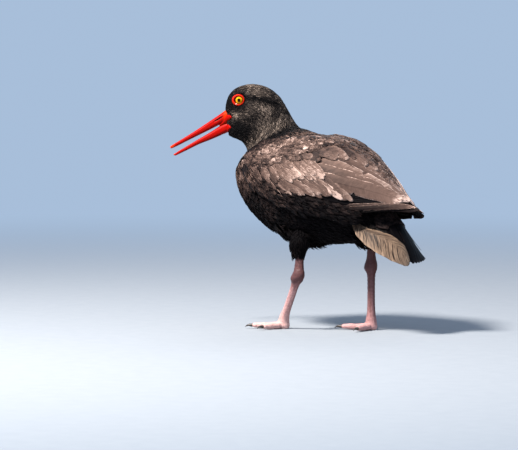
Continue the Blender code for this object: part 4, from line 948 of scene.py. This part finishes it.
def build_wing(side):
    """One folded wing: a thin core, rows of large feathers on it and small ones over its leading part."""
    word = "left" if side == 1 else "right"
    u, t = np.meshgrid(np.linspace(0.5, 9.2, 40), np.linspace(0, 1, 20), indexing="ij")
    edge = along(WING_EDGES, u)
    v = np.radians(edge[..., 0] + (edge[..., 1] - edge[..., 0]) * t)
    rim = np.minimum(1, 3.0 * np.minimum(t, 1 - t) + 0.25) * np.minimum(1, 0.35 + 4 * np.minimum(u - 0.5, 9.2 - u) / 8.7)
    surface, out = wing_point(u, v), out_of(wing_point, u, v)
    depth = np.minimum(edge[..., 2] * rim, 5.0)
    top, low = surface - out * 2.3, surface - out * (2.3 + depth)[..., None]
    points, groups = plate(wing_side(top, side), wing_side(low, side))
    bake = np.stack([t, (u - 0.5) / 8.7], axis=-1).reshape(-1, 2) * 0.49
    make("wing_core_" + word, points, groups, bpy.data.materials["under_skin"], "flight_feathers",
         {"OFBake": np.concatenate([bake, bake + 0.5])}, replaced=("wing_" + word,))

    def finish(points):
        return wing_side(points, side)

    made, number = [], 0
    for row, (first, last, count, halves, rises, bows, steps, tint, worn) in WING_ROWS.items():
        for k in range(count):
            f = k / (count - 1)
            ends = np.array(first) * (1 - f) + np.array(last) * f
            ends[1] += draw.uniform(-1, 1, 2) * JITTER.get(row, (0.05, 0.7))
            half = halves[0] * (1 - f) + halves[1] * f
            rise = rises[0] * (1 - f) + rises[1] * f
            bow = bows[0] * (1 - f) + bows[1] * f
            # Painted light: the front greater and median coverts are darkened as painted shade, and those from the
            # middle back are lifted a little as a painted highlight.
            shade = tint + (0.55 * min(f - 0.45, 0.1) if row in ("greater", "median") else 0)
            if row == "primary" and side == -1:
                hang = max(0, 1 - k / 3)
                ends = ends * (1 - hang) + np.array(FAR_PRIMARY[:2]) * hang
                bow = bow * (1 - hang) + FAR_PRIMARY[2] * hang
                half = half * (1 + 0.4 * hang)
            made.append(large_feather(
                wing_at, ends[0], ends[1], half * draw.uniform(0.94, 1.06), (-2.6, rise + draw.uniform(-0.15, 0.15)),
                0.07, bow, BLADE, steps, shade + draw.uniform(-1, 1) * (0.13 if row in JITTER else 0.06), worn,
                ((number % ATLAS, number // ATLAS), ATLAS), columns=11, finish=finish))
            number += 1
    parts = as_made(joined(made), 1)
    make("wing_feathers_" + word, *parts[:2], wing_feathers, "flight_feathers", *parts[2:])

    a, b = spread(wing_at, (0.35, 5.2), (1, 97), 1650, lesser_area, 0.1 * side)
    n = len(a)
    back = covert_limit(b) - a
    length = np.interp(a, (0.4, 3.0, 5.0), (9.0, 15.0, 18.0)) * draw.uniform(0.75, 1.25, n)
    high = np.interp(b, (5, 40, 60, 90), (1.5, 2.4, 2.0, 1.3)) * np.interp(a, (0.3, 1.3), (0.25, 1))
    high = high - 0.8 * np.clip(1 - back, 0, 1) + draw.uniform(0, 0.7, n)
    tone = np.interp(b, (15, 45, 80), (0.38, 0.48, 0.50)) + 0.16 * patchy(a * 14, b / 5, 2.2, 5)
    # Painted shade: the small coverts darken near the front of the wing's lower part and towards its lower edge, where
    # the wing turns down.
    tone = tone - 0.12 * np.interp(a, (0.5, 2.0), (1, 0)) * np.interp(b, (40, 60), (0, 1))
    tone = tone - 0.14 * np.interp(b, (68, 92), (0, 1))
    tone = tone + 0.12 * patchy(a * 14, b / 5, 0.7, 12)
    parts = small_feathers(wing_at, a, b, length, length * draw.uniform(0.20, 0.30, n),
                           np.interp(b, (20, 95), (0.0, 0.35)) + draw.normal(0, 0.12, n),
                           (np.minimum(high - 3.0, -1.2), high), 6, BROAD, ROUNDED, 0.55, tone,
                           np.full(n, 0.35), finish=finish, unwrap=((0, 6), (0, 100)))
    parts = as_made(parts, side)
    make("wing_coverts_" + word, *parts[:2], wing_feathers, "flight_feathers", *parts[2:])
    a, b = spread(wing_at, (1.2, 7.2), (82, 104), 420, lambda u, d: d > np.interp(u, (1, 4, 7.2), (86, 92, 86)), 0.4)
    n = len(a)
    length = draw.uniform(13, 20, n)
    parts = small_feathers(wing_at, a, b, length, length * draw.uniform(0.16, 0.24, n),
                           draw.normal(-0.05, 0.16, n), (np.full(n, -3.0), draw.uniform(-0.4, 1.4, n)), 5, SLIM,
                           POINTED, 0.6, np.interp(a, (1.5, 3.0, 5.0), (0.40, 0.22, 0.0)) + 0.16 * patchy(a * 9, b / 5, 0.9, 6),
                           np.full(n, 0.3),
                           finish=finish, unwrap=((0, 8), (0, 110)))
    parts = as_made(parts, side)
    make("flank_plumes_" + word, *parts[:2], body_feathers, "plumage_body", *parts[2:])
    parts = as_made(ridge_feathers(finish), side)
    make("ridge_feathers_" + word, *parts[:2], wing_feathers, "plumage_body", *parts[2:])


def ridge_feathers(finish):
    """Feathers that close the valley between the wings, for build_wing."""
    a, b = spread(wing_at, (3.0, 7.7), (0, 15), 170, phase=0.2)
    n = len(a)
    length = draw.uniform(13, 19, n)
    return small_feathers(wing_at, a, b, length, length * draw.uniform(0.22, 0.30, n), draw.normal(0, 0.1, n),
                          (np.full(n, -2.4), draw.uniform(0.4, 1.5, n)), 6, BROAD, ROUNDED, 0.55,
                          0.52 + 0.1 * patchy(a * 9, b / 5, 3.0, 7), np.full(n, 0.5), finish=finish,
                          unwrap=((0, 8), (0, 110)))


def covert_limit(degrees):
    """How far back along the wing the small coverts grow."""
    return np.interp(degrees, (5, 30, 60, 80, 97), (4.6, 3.6, 2.6, 1.9, 1.5))


def lesser_area(u, degrees):
    """Where the small coverts grow: the leading part of the wing, back to the roots of the larger rows."""
    edge = along(WING_EDGES, u)
    inside = (degrees > np.minimum(edge[..., 0] - 3, 60)) & (degrees < edge[..., 1] + 1)
    return inside * np.clip((covert_limit(degrees) - u) * 1.1 + 0.4, 0, 1) + 1e-6


# ---- tail ----

TAIL_FEATHERS = 12
LENS = ((0, 0.10), (0.15, 0.24), (0.4, 0.54), (0.6, 0.86), (0.74, 1.0), (0.83, 0.95), (0.91, 0.74),
        (0.97, 0.44), (1, 0.14))
# Ramp colours for the outer left tail vane: pale tans that paint sunlight on it.
SUNLIT_TANS = ((0.010, 0.007, 0.006), (0.060, 0.038, 0.027), (0.22, 0.145, 0.098), (0.48, 0.36, 0.26))


def build_tail():
    """A short core, twelve long feathers in a fan over it, and small coverts over their roots. The outer left vane is
    painted pale as if sunlit, and the fan's feathers are darkened as painted shadow of the wing.
    """
    s, across = np.meshgrid(np.linspace(26, 52, 8), np.linspace(-0.9, 0.9, 15), indexing="ij")
    top = tail_point(s, across) - out_of(tail_point, s, across) * 1.4
    low = top - out_of(tail_point, s, across) * 1.8
    points, groups = plate(top, low)
    bake = np.stack([across * 0.5 + 0.5, (s - 26) / 26], axis=-1).reshape(-1, 2) * 0.49
    make("tail_core", points, groups, bpy.data.materials["under_skin"], "flight_feathers",
         {"OFBake": np.concatenate([bake, bake + 0.5])}, replaced=("tail",))
    made = []
    order = np.argsort(-np.abs(np.linspace(-1, 1, TAIL_FEATHERS)))
    for number, k in enumerate(order):
        place = -1 + (2 * k + 1) / TAIL_FEATHERS
        if place > 0.7:
            continue
        # The fan's feathers take tone -0.14: their own black deepened as painted shadow of the wing.
        made.append(large_feather(
            tail_point, (30 - 10 * place**2, place * (0.92 if place > 0 else 1.16)), (TAIL_LENGTH * (1 - 0.07 * place**2 - 0.14 * max(place - 0.15, 0)), place), 8.4,
            (-2.4, 1.0 - 2.2 * abs(place) + 0.1 * (number % 2)), 0.05 * np.sign(place), 0.0, BLADE, 60, -0.14, 0.9,
            ((number % 4, number // 4), 4), columns=17, notches=2))
    made.append(large_feather(tail_point, (48, -0.38), (88, -0.90), 1.0, (0.8, 1.0), 0.0, -0.05, BLADE, 60, 0.5, 1.0,
                              ((3, 3), 4), columns=17, notches=0))
    parts = joined(made)
    make("tail_feathers", *parts[:2], wing_feathers, "flight_feathers", *parts[2:])
    # Painted light: the outer left vane is coloured pale as if sunlit.
    parts = large_feather(tail_point, (21.5, 0.97), (TAIL_LENGTH + 1.5, 0.42), 14.9, (0.2, 2.8), 0.0, 0.27, LENS, 100,
                          0.42, 0.5, ((0, 0), 1), columns=25, notches=0, thick=(1.0, 0.4), shaft=0.5)
    make("tail_outer_vane", *parts[:2], plumage("sunlit_vane_painted", 0.5, 0.1, *SUNLIT_TANS, splits=0.55, streaks=3.4,
         grain=2.0, slant=13.0), "flight_feathers", *parts[2:])
    a, b = spread(tail_point, (28, 44), (-0.85, 0.6), 160)
    n = len(a)
    length = np.full(n, 15.0) * draw.uniform(0.8, 1.2, n)
    parts = small_feathers(tail_point, a, b, length, length * 0.3, draw.normal(0, 0.06, n),
                           (np.full(n, -1.5), draw.uniform(1.0, 1.8, n)), 6, BROAD, ROUNDED, 0.5,
                           0.06 + 0.06 * draw.random(n), np.full(n, 0.2), unwrap=((25, 80), (-1, 1)))
    make("tail_coverts", *parts[:2], body_feathers, "plumage_body", *parts[2:])


# ---- bill ----

NOSTRIL = ((-126.5, 219.2), (-117.5, 224.6), 0.85)
# Flesh at the corner of the mouth, in the bill's terms: a lip that runs up the cheek, and the lower
# mandible's soft base. Upper x, z; lower x, z; how far it stands off the face; its half width if that is less
LIPS = {
    "upper": ((-121.5, 216.2, -121.0, 213.9, 0.0, 4.3), (-118.5, 220.0, -117.0, 215.6, 0.3, 5.4),
              (-114.5, 226.4, -112.6, 218.2, 0.6, 30), (-111.2, 227.6, -109.6, 220.4, 0.9, 30),
              (-109.0, 226.2, -108.2, 222.0, 0.8, 30), (-107.9, 224.6, -107.6, 223.0, 0.2, 30)),
    "lower": ((-120.5, 214.4, -120.5, 204.4, 0.2, 4.6), (-116.5, 216.8, -116.5, 205.9, 0.4, 5.3),
              (-113.0, 218.2, -113.0, 207.3, 0.6, 30), (-110.8, 217.4, -111.2, 209.0, 0.8, 30),
              (-109.2, 215.2, -109.6, 210.8, 0.7, 30), (-108.5, 213.8, -108.8, 211.8, 0.1, 30)),
}


def mandible(name, rows, look, upper):
    """Half of the bill: its sections lofted finely, the nostril pressed in by a smooth lens-shaped mask."""
    u, v = np.meshgrid(np.linspace(0, len(rows) - 1, 180), np.linspace(0, 2 * PI, 84, endpoint=False), indexing="ij")
    p = section_point(rows, u, v)
    front, back, half = NOSTRIL
    way = np.array(back) - front
    t = ((p[..., 0] - front[0]) * way[0] + (p[..., 2] - front[1]) * way[1]) / (way @ way)
    off = ((p[..., 0] - front[0]) * -way[1] + (p[..., 2] - front[1]) * way[0]) / np.linalg.norm(way)
    pit = np.clip(1.25 - (2 * t - 1) ** 2 - (off / half) ** 2, 0, 1) ** 0.7 * upper
    groove = np.exp(-(off / 1.3) ** 2) * np.clip(1 - np.abs(t - 0.1) / 1.5, 0, 1) * upper
    inwards = np.tanh(p[..., 1] / 0.8)
    p[..., 1] -= inwards * (0.8 * pit + 0.35 * groove)
    lip = np.exp(-((np.cos(v) + (0.86 if upper else -0.86)) / 0.16) ** 2) * np.interp(u, (0, 2, 4), (0.35, 0.2, 0.05))
    p[..., 1] += inwards * lip
    points, groups = loft(turned(p, 0 * u))
    length = np.clip((-112 - p[..., 0]) / 60, 0 if upper else 0.13, 1)
    # The nostril's mask also darkens the nostril in the colour, as painted shade.
    value = {"length": length, "pit": pit, "ridge": np.cos(v) * 0.5 + 0.5}
    value = {w: np.concatenate([x.ravel(), [x.ravel()[0], x.ravel()[-1]]]) for w, x in value.items()}
    make("horn_" + name, points, groups, look, "bill", {"OFBake": grid_unwrap(180, 84)}, value, replaced=(name,))


def build_bill():
    """Both mandibles, and the flesh that closes the mouth behind them and swells at its corners."""
    look = bill_horn()
    mandible("bill_upper", UPPER_BILL, look, 1)
    mandible("bill_lower", LOWER_BILL, look, 0)
    for name, lip in LIPS.items():
        rows = np.array([(*row[:4], min(face_width(row) + row[4], row[5] + row[4]), 2.2) for row in lip])
        u, v = np.meshgrid(np.linspace(0, len(rows) - 1, 40), np.linspace(0, 2 * PI, 64, endpoint=False), indexing="ij")
        points, groups = loft(turned(section_point(rows, u, v), 0 * u))
        rim = 0.5 + 0.5 * np.cos(v)
        # The orange along the lips' meeting edges is the gape's flesh, partly a painted highlight.
        value = {"length": 0.02 + 0.22 * (rim if name == "upper" else np.clip(3.6 - 4 * rim, 0, 1)),
                 # Painted shade on the side of each lip that faces the closed mouth.
                 "pit": 0.55 * np.clip(-np.cos(v) if name == "upper" else np.cos(v), 0, 1) ** 6,
                 "ridge": 0.5 + 0 * u}
        value = {w: np.concatenate([x.ravel(), [x.ravel()[0], x.ravel()[-1]]]) for w, x in value.items()}
        make("lip_" + name, points, groups, look, "bill", {"OFBake": grid_unwrap(40, 64)}, value)


def face_width(row):
    """Half the head's width at the middle of a section, looked up in the head's side view."""
    u, v = np.meshgrid(np.linspace(0, 4, 200), np.linspace(0.02, PI - 0.02, 200), indexing="ij")
    p = section_point(BODY, u, v)
    middle = ((row[0] + row[2]) / 2, (row[1] + row[3]) / 2)
    near = np.hypot(p[..., 0] - middle[0], p[..., 2] - middle[1])
    return abs(p[..., 1].ravel()[near.argmin()])


# ---- eyes ----

def build_eyes():
    """Each eye: a ball with a slight bulge over the iris, and a flat fleshy ring with fine cross wrinkles."""
    ball_look, ring_look, fold_highlight_look = eye_glass(), ring_flesh(), fold_flesh_painted_highlight()
    for side, word in ((1, "left"), (-1, "right")):
        place, out, forward, up = eye_frame(side)
        t, turn = np.meshgrid(np.linspace(0.02, PI - 0.02, 48), np.linspace(0, 2 * PI, 64, endpoint=False), indexing="ij")
        radius = EYE_RADIUS * (1 + 0.05 * np.exp(-(t / 0.55) ** 2))
        spoke = np.cos(turn)[..., None] * forward + np.sin(turn)[..., None] * up
        shell = radius[..., None] * (np.cos(t)[..., None] * out + np.sin(t)[..., None] * spoke)
        points, groups = loft(place - out * EYE_DEPTH - forward * 0.2 + shell)
        ahead, above = np.cos(turn) * np.sin(t) * EYE_RADIUS + 0.95, np.sin(turn) * np.sin(t) * EYE_RADIUS + 0.2
        aside = np.hypot(ahead * 1.08, above * np.where(above > 0, 1.12, 0.74))
        aside = np.concatenate([aside.ravel(), [0.95, 0.95]])
        aside = np.where(np.concatenate([t.ravel(), [0, PI]]) > PI / 2, EYE_RADIUS, aside)
        about = np.concatenate([(turn / (2 * PI)).ravel(), [0, 0]])
        make("eye_" + word, points, groups, ball_look, "iris", {"OFBake": grid_unwrap(48, 64)},
             {"radius": aside, "turn": about}, replaced=("eye_" + word,))
        a, b = np.meshgrid(np.linspace(0, 2 * PI, 150, endpoint=False), np.linspace(0, 2 * PI, 20, endpoint=False), indexing="ij")
        spoke = np.cos(a)[..., None] * forward + np.sin(a)[..., None] * up
        oval = 1 + 0.045 * np.cos(2 * a)
        wrinkle = 1 + 0.07 * np.sin(34 * a + 2 * np.sin(5 * a)) * np.clip(np.sin(b), 0, 1)
        thick = 1.0 + 0.4 * np.cos(a - 0.5)
        reach = 6.5 * oval + thick * (np.cos(b) * wrinkle - 1)
        high = 0.5 + 0.95 * thick * np.sin(b) * wrinkle - 0.2 * np.cos(b)
        rings = place + spoke * reach[..., None] + out * high[..., None]
        count, across = a.shape
        r, k = np.meshgrid(np.arange(count), np.arange(across), indexing="ij")
        s, j = (r + 1) % count, (k + 1) % across
        quads = np.stack([r * across + k, r * across + j, s * across + j, s * across + k], -1).reshape(-1, 4)
        points = rings.reshape(-1, 3)
        bake = np.stack([r / count, k / across], axis=-1).reshape(-1, 2)
        make("eye_ring_" + word, points, faced_out(points, [quads]), ring_look, "eye_ring", {"OFBake": bake},
             replaced=("eye_ring_" + word,))
        # A small bump of flesh on the ring's lower front, pale pink as a painted highlight.
        t, turn = np.meshgrid(np.linspace(0.05, PI - 0.05, 24), np.linspace(0, 2 * PI, 32, endpoint=False), indexing="ij")
        blob = 1.25 * np.cos(t)[..., None] * forward + 0.95 * (np.sin(t) * np.cos(turn))[..., None] * up
        blob = blob + 0.8 * (np.sin(t) * np.sin(turn))[..., None] * out
        points, groups = loft(place + forward * 1.9 - up * 4.5 + out * 1.0 + blob)
        make("eye_fold_" + word, points, groups, fold_highlight_look, "eye_ring", {"OFBake": grid_unwrap(24, 32)})


# ---- legs ----

def toe_line(joint, heading, length, t):
    """A toe's middle line: down from the joint by a square curve over its first part, then level."""
    way = np.array((-np.cos(heading), -np.sin(heading), 0.0))
    low = TOE_RADIUS * 0.85
    height = low + (joint[2] - low) * np.clip(1 - t / 0.30, 0, 1) ** 2
    return joint * (1, 1, 0) + way * (length * t)[..., None] + height[..., None] * (0, 0, 1.0)


def merged(parts):
    """Puts closed pieces in one mesh, to be fused by a fine voxel remesh."""
    points = np.concatenate([p for p, _ in parts])
    starts = np.cumsum([0] + [len(p) for p, _ in parts[:-1]])
    return points, [g + s for (_, groups), s in zip(parts, starts) for g in groups]


def remeshed(points, groups, voxel):
    """The points, quads and normals of the pieces' common outside, from a voxel remesh smoothed a little."""
    mesh = bpy.data.meshes.new("rough")
    mesh.from_pydata((points * MM).tolist(), [], [f for g in groups for f in g.tolist()])
    rough = bpy.data.objects.new("rough", mesh)
    bpy.context.scene.collection.objects.link(rough)
    remesh = rough.modifiers.new("remesh", "REMESH")
    remesh.mode = "VOXEL"
    remesh.voxel_size = voxel * MM
    smooth = rough.modifiers.new("smooth", "SMOOTH")
    smooth.factor, smooth.iterations = 0.5, 8
    result = rough.evaluated_get(bpy.context.evaluated_depsgraph_get()).to_mesh()
    co = np.empty(len(result.vertices) * 3)
    result.vertices.foreach_get("co", co)
    normal = np.empty(len(result.vertices) * 3)
    result.vertices.foreach_get("normal", normal)
    quads = np.empty(len(result.loops), np.int32)
    result.loops.foreach_get("vertex_index", quads)
    bpy.data.objects.remove(rough, do_unlink=True)
    return co.reshape(-1, 3) / MM, quads.reshape(-1, 4), normal.reshape(-1, 3)


def scale_seams(points, size):
    """How near each point is to the border between two cells of a jittered lattice, 0 inside and 1 on it."""
    scaled = points / size
    cell = np.floor(scaled).astype(int)
    nearest = np.full((len(points), 2), 9.0)
    for dx in (-1, 0, 1):
        for dy in (-1, 0, 1):
            for dz in (-1, 0, 1):
                c = cell + (dx, dy, dz)
                mixed = (c * (73856093, 19349663, 83492791)).sum(axis=1)
                jitter = np.stack([np.sin(mixed * k) * 43758.5453 % 1 for k in (0.0127, 0.0311, 0.0743)], axis=-1)
                d = np.linalg.norm(c + 0.15 + 0.7 * jitter - scaled, axis=1)
                far = np.maximum(nearest[:, 0], d)
                nearest = np.stack([np.minimum(nearest[:, 0], d), np.minimum(nearest[:, 1], far)], axis=-1)
    return np.clip(1 - (nearest[:, 1] - nearest[:, 0]) / 0.22, 0, 1)


def build_leg(name, side):
    """One bare leg from inside the thigh's feathers to the toes: fused tubes with raised scales, and claws."""
    rows = leg_rows(name)
    rows[len(THIGH_SIZES) + 1:, 3:] += 0.35
    joint = np.array(LEGS[name][2])
    place, angle = np.meshgrid(np.linspace(2.1, 14, 86), np.linspace(0, 2 * PI, 32, endpoint=False), indexing="ij")
    slim = np.where(place < 4, 0.75 + 0.25 * np.clip(place - 3, 0, 1), 1)[..., None]
    centre = along(rows, place)[..., :3]
    parts = [loft(centre + (round_point(rows, place, angle) - centre) * slim)]
    t = np.linspace(0, 1, 40)
    for number, (_, heading, length) in enumerate(LEGS[name][3]):
        size = TOE_RADIUS * (1 - 0.22 * t) * (1 + 0.07 * np.cos(t * 6 * PI)) * np.sqrt(np.clip((1.02 - t) / 0.12, 0, 1))
        centres = toe_line(joint, np.radians(heading), length, t - 0.02 * (number + 1) * (1 - t))
        tube = np.concatenate([centres, size[:, None], (size * 0.9)[:, None]], axis=1)
        r, k = np.meshgrid(np.arange(40.0), np.linspace(0, 2 * PI, 20, endpoint=False), indexing="ij")
        parts.append(loft(toe_tube(tube, r, k)))
    points, quads, normal = remeshed(*merged(parts), 0.55)
    from_joint = np.linalg.norm(points[:, :2] - joint[:2], axis=1)
    height = points[:, 2]
    seam = scale_seams(points, np.array((1.5, 1.5, 1.5)))
    bands = scale_seams(points * (1, 1, 0.62), np.array((2.6, 2.6, 2.6)))
    tarsus = np.clip((height - 12) / 6, 0, 1)
    seam = seam * (1 - tarsus) + np.maximum(bands, 0.5 * seam) * tarsus
    ankle = LEGS[name][1][2]
    facing = unit(normal) @ RIGHT
    knob = np.exp(-((height - ankle + 4.5) / 4.0) ** 2) * np.clip(-facing, 0, 1) ** 2
    points = points + normal * (0.14 - 0.30 * seam + 1.3 * knob)[:, None]
    points[:, 2] = np.maximum(points[:, 2], 0.0)
    # The right leg, on the far side, has a darker tone from the toes up the shank as painted shade.
    tones = (0.02, 0.14, 0.32, 0.76, 0.90) if side == 1 else (0.18, 0.42, 0.64, 0.74, 0.80)
    up = np.interp(height, (0, 10, ankle - 18, ankle - 6, ankle + 4), tones)
    around = np.arctan2(points[:, 1] - joint[1], points[:, 0] - joint[0])
    stripes = np.clip(np.sin(around * 5 + height * 0.04), 0, 1) ** 2 * tarsus * (side == -1)
    shade = np.clip(np.clip(facing * 1.2 - 0.1, 0, 1) ** 1.3 * np.interp(height, (8, 25), (0.15, 1.0)) + 0.5 * stripes, 0, 1)
    bake = np.stack([np.arctan2(points[:, 1] - joint[1], points[:, 0] - joint[0]) / (2 * PI) + 0.5,
                     np.where(height > 12, height / 130, from_joint / 500)], axis=-1)
    make("leg_" + name, points, [quads], leg_look, "leg", {"OFBake": bake},
         {"up": up, "seam": seam, "shade": shade},
         replaced=("thigh_" + name, "shank_" + name, "foot_" + name))
    for word, heading, length in LEGS[name][3]:
        build_claw("claw_%s_%s" % (word, name), joint, np.radians(heading), length)


def toe_tube(rows, place, angle):
    """A toe's outside: width level and depth upright, across its middle line."""
    p = along(rows, place)
    way = along(rows, place + 0.02)[..., :3] - along(rows, place - 0.02)[..., :3]
    side = unit(np.cross(unit(way), (0, 0, 1.0)))
    up = np.cross(side, unit(way))
    return p[..., :3] + p[..., 3:4] * np.cos(angle)[..., None] * side + p[..., 4:5] * np.sin(angle)[..., None] * up


def build_claw(name, joint, heading, length):
    """A curved claw that tapers to a blunt point, its middle line 2.5 t^2 (1 - t) - 1.8 t^3 high."""
    way = np.array((-np.cos(heading), -np.sin(heading), 0.0))
    start = toe_line(joint, heading, length, np.ones(1))[0] + way * (GAP - 1.2)
    t = np.linspace(0, 1, 24)
    rise = 2.5 * t**2 * (1 - t) - 1.8 * t**3
    centres = start + way * ((CLAW_LENGTH + 1.2) * t)[:, None] + rise[:, None] * (0, 0, 1.0)
    size = CLAW_RADIUS * (1 - 0.85 * t**1.3)
    tube = np.concatenate([centres, size[:, None], (size * 0.9)[:, None]], axis=1)
    r, k = np.meshgrid(np.arange(24.0), np.linspace(0, 2 * PI, 16, endpoint=False), indexing="ij")
    points, groups = loft(toe_tube(tube, r, k))
    make(name, points, groups, claw_look, "claw", {"OFBake": grid_unwrap(24, 16)}, replaced=(name,))


# ---- floor, light and camera ----

CAMERA_AZIMUTH, CAMERA_HEIGHT = np.radians(38), np.radians(3)
CAMERA_DISTANCE = 3200.0
SKY, SKY_LIGHT = (0.56, 0.74, 1.0), 0.70
FRAME_WIDTH = 549.1
RIGHT = np.array((np.cos(CAMERA_AZIMUTH), np.sin(CAMERA_AZIMUTH), 0.0))
BACK = np.array((np.sin(CAMERA_AZIMUTH) * np.cos(CAMERA_HEIGHT), -np.cos(CAMERA_AZIMUTH) * np.cos(CAMERA_HEIGHT),
                 np.sin(CAMERA_HEIGHT)))
UP = np.cross(BACK, RIGHT)


def looking(back, up, right, place):
    """A matrix for a light or camera that looks against back, at a place in metres."""
    columns = np.eye(4)
    columns[:3, 0], columns[:3, 1], columns[:3, 2], columns[:3, 3] = right, up, back, place
    return Matrix(columns.tolist())


def area_light(name, direction, distance, size, power, colour):
    """A square soft light at a distance in a direction (right, up, back as the camera sees them)."""
    light = bpy.data.lights.new(name, "AREA")
    light.size, light.energy, light.color = size, power, colour
    lamp = bpy.data.objects.new(name, light)
    bpy.context.scene.collection.objects.link(lamp)
    back = unit(direction[0] * RIGHT + direction[1] * np.array((0, 0, 1.0)) + direction[2] * BACK)
    right = unit(np.cross((0, 0, 1.0), back))
    lamp.matrix_world = looking(back, np.cross(back, right), right, back * distance + (0, 0, 0.14))


def build_stage():
    """A pale disc that fades into the background, an even pale background, soft lights and the camera."""
    angle = np.linspace(0, 2 * PI, 96, endpoint=False)
    mesh = bpy.data.meshes.new("floor")
    rim = np.stack([3.0 * np.cos(angle), 3.0 * np.sin(angle), -0.0004 + 0 * angle], axis=-1)
    mesh.from_pydata(rim.tolist(), [], [tuple(range(96))])
    f = Finish("floor", Roughness=1.0, Specular_IOR_Level=0.0, Emission_Strength=1.0)
    grain = f.noise(f.place(), 60.0, 4.0)
    far = f.node("ShaderNodeVectorMath", {"operation": "LENGTH"}, [f.place()], output=1).step(0.35, 2.6)
    near = f.blend(grain, (0.25, 0.27, 0.30), (0.28, 0.30, 0.33))
    mesh.materials.append(f.set(Base_Color=f.blend(far, near, (0.0, 0.0, 0.0)),
                                Emission_Color=f.blend(far, (0.0, 0.0, 0.0), tuple(c * SKY_LIGHT for c in SKY))))
    floor = bpy.data.objects.new("floor", mesh)
    bpy.context.scene.collection.objects.link(floor)
    world = bpy.data.worlds.new("studio")
    world.use_nodes = True
    world.node_tree.nodes["Background"].inputs[0].default_value = (*SKY, 1.0)
    world.node_tree.nodes["Background"].inputs[1].default_value = SKY_LIGHT
    bpy.context.scene.world = world
    bpy.context.scene.view_settings.view_transform = "Standard"
    area_light("key", (-0.9, 1.45, 0.75), 1.9, 0.35, 112.0, (1.0, 0.95, 0.88))
    area_light("fill", (1.2, 0.4, 1.0), 2.2, 1.4, 1.5, (0.9, 0.95, 1.0))
    area_light("rim", (0.3, 1.2, -1.3), 2.2, 1.0, 12.0, (1.0, 0.98, 0.95))
    camera_data = bpy.data.cameras.new("camera")
    camera_data.sensor_width = 36.0
    camera_data.lens = 36.0 * CAMERA_DISTANCE / FRAME_WIDTH
    camera = bpy.data.objects.new("camera", camera_data)
    bpy.context.scene.collection.objects.link(camera)
    aim = np.array((0, 0, 150.0)) + PLACE - 65.7 * RIGHT - 39.8 * UP
    camera.matrix_world = looking(BACK, UP, RIGHT, (aim + BACK * CAMERA_DISTANCE) * MM)
    bpy.context.scene.camera = camera


leg_look, claw_look = leg_skin(), claw_horn()
build_stage()
build_skin()
build_head_coat()
build_body_coat()
build_thigh_coats()
for wing in (1, -1):
    build_wing(wing)
build_tail()
build_bill()
build_eyes()
build_leg("left", 1)
build_leg("right", -1)
